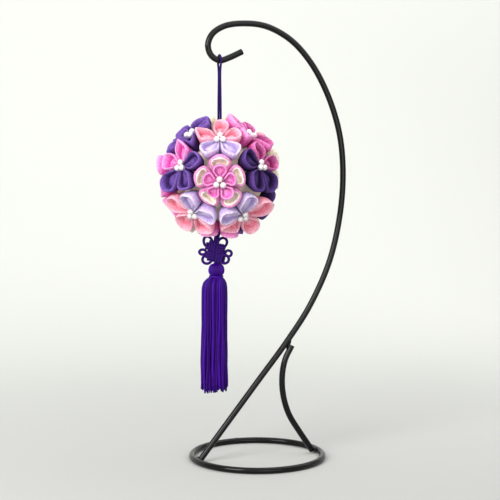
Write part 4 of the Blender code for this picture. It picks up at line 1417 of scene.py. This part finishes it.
class FLOWERBALL_OT_knot(Operator):
    """The ornamental knot between the ball and the tassel"""
    bl_idname = "flowerball.knot"
    bl_label = "Knot"

    def loop_corners(self, loop):
        """The way of the cord round one open loop."""
        lean = math.radians(loop.lean)
        corners = []
        for i in range(LOOP_CORNERS):
            turn = 2 * math.pi * i / LOOP_CORNERS
            x, y = loop.wide * math.cos(turn), loop.tall * math.sin(turn)
            depth = loop.layer + LOOP_WEAVE * math.sin(turn + loop.right)
            corners.append(hung(KNOT_RIGHT + loop.right + x * math.cos(lean) - y * math.sin(lean),
                                KNOT_HEIGHT + loop.up + x * math.sin(lean) + y * math.cos(lean), depth))
        return corners

    def patch_corners(self, patch, side, across):
        """The way of one of a patch's cords, arched out of the knot on that side."""
        lean = math.radians(patch.lean if side > 0 else patch.lean + 90)
        corners = []
        for part, outward in PATCH_ARCH:
            right = patch.right - math.sin(lean) * part * patch.length + math.cos(lean) * across
            up = patch.up + math.cos(lean) * part * patch.length + math.sin(lean) * across
            corners.append(hung(KNOT_RIGHT + right, KNOT_HEIGHT + up, side * outward))
        return corners

    def execute(self, context):
        forward = ball_frame()[0]
        soft = Soft("tone")

        def cord(corners, closed=False, width=KNOT_CORD):
            route = closed_route(corners, KNOT_STEP) if closed else smooth_route(corners, KNOT_STEP)
            add_tube(soft, route, [width / 2] * len(route), KNOT_SIDES, forward, closed)

        for loop in LOOPS:
            cord(self.loop_corners(loop), closed=True)
        for side in (1, -1):
            for patch in PATCHES:
                for across in PATCH_CORDS:
                    cord(self.patch_corners(patch, side, across), width=PATCH_CORD)
        for beside in (-STEM_APART, STEM_APART):
            cord([hung(right + beside, up, 0.0) for right, up in STEM])
            cord([hung(PLUMB[0][1] + beside, up, 0.0) for up in TAIL_HEIGHTS])
        colour = tuple(context.scene.flowerball_trim.cord_colour)
        made = soft.piece("ornamental_knot", cord_material("braided_cord", colour, roughness=0.72))
        keep(made, "violet_cord", "knot")
        return {"FINISHED"}


class FLOWERBALL_OT_tassel(Operator):
    """The tassel's wound head, its binding and its skirt of threads"""
    bl_idname = "flowerball.tassel"
    bl_label = "Tassel"

    def add_head(self, soft, chance):
        """The ribbed head, each rib in a tone of its own."""
        sides = RIBS * RIB_SIDES
        tones = [chance.uniform(*RIB_TONES) for _ in range(RIBS)]
        rows = []
        for at in smooth_route([(radius, up, 0.0) for radius, up in HEAD_PROFILE], HEAD_STEP):
            points = []
            for side in range(sides):
                turn = 2 * math.pi * side / sides
                rib = abs(math.sin(turn * RIBS / 2)) ** RIB_SHARPNESS
                points.append(round_plumb(at.x * (1 - RIB_DEPTH + RIB_DEPTH * rib), turn, at.y))
            rows.append(soft.row(points, [tones[side // RIB_SIDES] for side in range(sides)]))
        ring = [side / RIB_SIDES for side in range(sides + 1)]
        for r, (low, high) in enumerate(zip(rows, rows[1:])):
            soft.band(low, high, ring, ring, r * HEAD_STEP, (r + 1) * HEAD_STEP)
        for row in (rows[0], rows[-1]):
            soft.cap(row, ring, 0.0)

    def add_binding(self, soft):
        """Thread wound round the neck."""
        whole = BINDING_TURNS * 360
        wraps = []
        for degrees in range(0, whole + 1, BINDING_STEP):
            up = BINDING_HEIGHT + BINDING_RISE * degrees / whole
            wraps.append(round_plumb(BINDING_RADIUS, math.radians(degrees), up))
        add_tube(soft, wraps, [BINDING_THREAD] * len(wraps), THREAD_SIDES, Vector((0, 0, 1)), value=0.6)

    def add_thread(self, soft, chance, number, turn, radius, half):
        """One thread of the skirt, from inside the head down to its own end."""
        turn += chance.uniform(*THREAD_TURN)
        drift = chance.uniform(*THREAD_DRIFT)
        looseness = 0.5 + chance.uniform(*THREAD_LOOSENESS)
        end = SKIRT_END + chance.uniform(*THREAD_END) + SKIRT_WAVE * math.sin(turn * 3)
        stand_out = radius + chance.uniform(*THREAD_OUT)
        corners = []
        for up, share, out, loose in (*SKIRT_FALL, (end, 1.0, 0.0, SKIRT_END_LOOSE)):
            sag = max(0.0, SKIRT_SWAY_FROM - up) / SKIRT_LENGTH
            reach = stand_out * share + (out + loose * looseness) + sway(SWAY_OUT, number, up) * sag
            around = turn + drift * sag + sway(SWAY_ROUND, number, up) * sag
            corners.append(round_plumb(reach, around, up))
        route = smooth_route(corners, SKIRT_STEP)
        outward = hung(math.sin(turn), 0, math.cos(turn)) - hung(0, 0, 0)
        width = half * chance.uniform(*THREAD_WIDTH)
        radii = [width * min(1.0, THREAD_START + THREAD_SWELL * i) for i in range(len(route))]
        radii[-1] *= THREAD_TAPER
        add_tube(soft, route, radii, THREAD_SIDES, outward, value=chance.uniform(0.0, 1.0))

    def execute(self, context):
        settings = context.scene.flowerball_trim
        soft = Soft("tone")
        chance = random.Random("tassel")
        self.add_head(soft, chance)
        self.add_binding(soft)
        number = 0
        for ring, (radius, count) in enumerate(SKIRT_RINGS):
            for i in range(count):
                number += 1
                turn = 2 * math.pi * (i + 0.5 * (ring % 2)) / count
                self.add_thread(soft, chance, number, turn, radius, settings.thread / MM / 2)
        made = soft.piece("thread_tassel", thread_material(tuple(settings.tassel_colour)))
        keep(made, "violet_silk", "tassel")
        return {"FINISHED"}


PIECES = (
    FLOWERBALL_OT_stage, FLOWERBALL_OT_hanging_cord, FLOWERBALL_OT_stand, FLOWERBALL_OT_core,
    FLOWERBALL_OT_single_flowers, FLOWERBALL_OT_front_flower, FLOWERBALL_OT_beads, FLOWERBALL_OT_knot,
    FLOWERBALL_OT_tassel,
)


class FLOWERBALL_PT_pieces(Panel):
    """Lists the pieces of the flower ball"""
    bl_label = "Flower Ball"
    bl_space_type = "VIEW_3D"
    bl_region_type = "UI"
    bl_category = "Flower Ball"

    def draw(self, context):
        for settings in (context.scene.flowerball_cloth, context.scene.flowerball_trim,
                         context.scene.flowerball_stand, context.scene.flowerball_stage):
            box = self.layout.box()
            for name in settings.__annotations__:
                box.prop(settings, name)
        for piece in PIECES:
            self.layout.operator(piece.bl_idname)


SETTINGS = (
    ("flowerball_cloth", FlowerBallCloth), ("flowerball_trim", FlowerBallTrim),
    ("flowerball_stand", FlowerBallStand), ("flowerball_stage", FlowerBallStage),
)


def register():
    for name, group in SETTINGS:
        bpy.utils.register_class(group)
        setattr(bpy.types.Scene, name, PointerProperty(type=group))
    for piece in (*PIECES, FLOWERBALL_PT_pieces):
        bpy.utils.register_class(piece)


def unregister():
    for piece in reversed((*PIECES, FLOWERBALL_PT_pieces)):
        bpy.utils.unregister_class(piece)
    for name, group in reversed(SETTINGS):
        delattr(bpy.types.Scene, name)
        bpy.utils.unregister_class(group)


def main():
    """Make every piece."""
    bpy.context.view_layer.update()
    register()
    bpy.ops.flowerball.stage()
    bpy.ops.flowerball.hanging_cord()
    bpy.ops.flowerball.stand()
    bpy.ops.flowerball.core()
    bpy.ops.flowerball.single_flowers()
    bpy.ops.flowerball.front_flower()
    bpy.ops.flowerball.beads()
    bpy.ops.flowerball.knot()
    bpy.ops.flowerball.tassel()


if __name__ == "__main__":
    main()
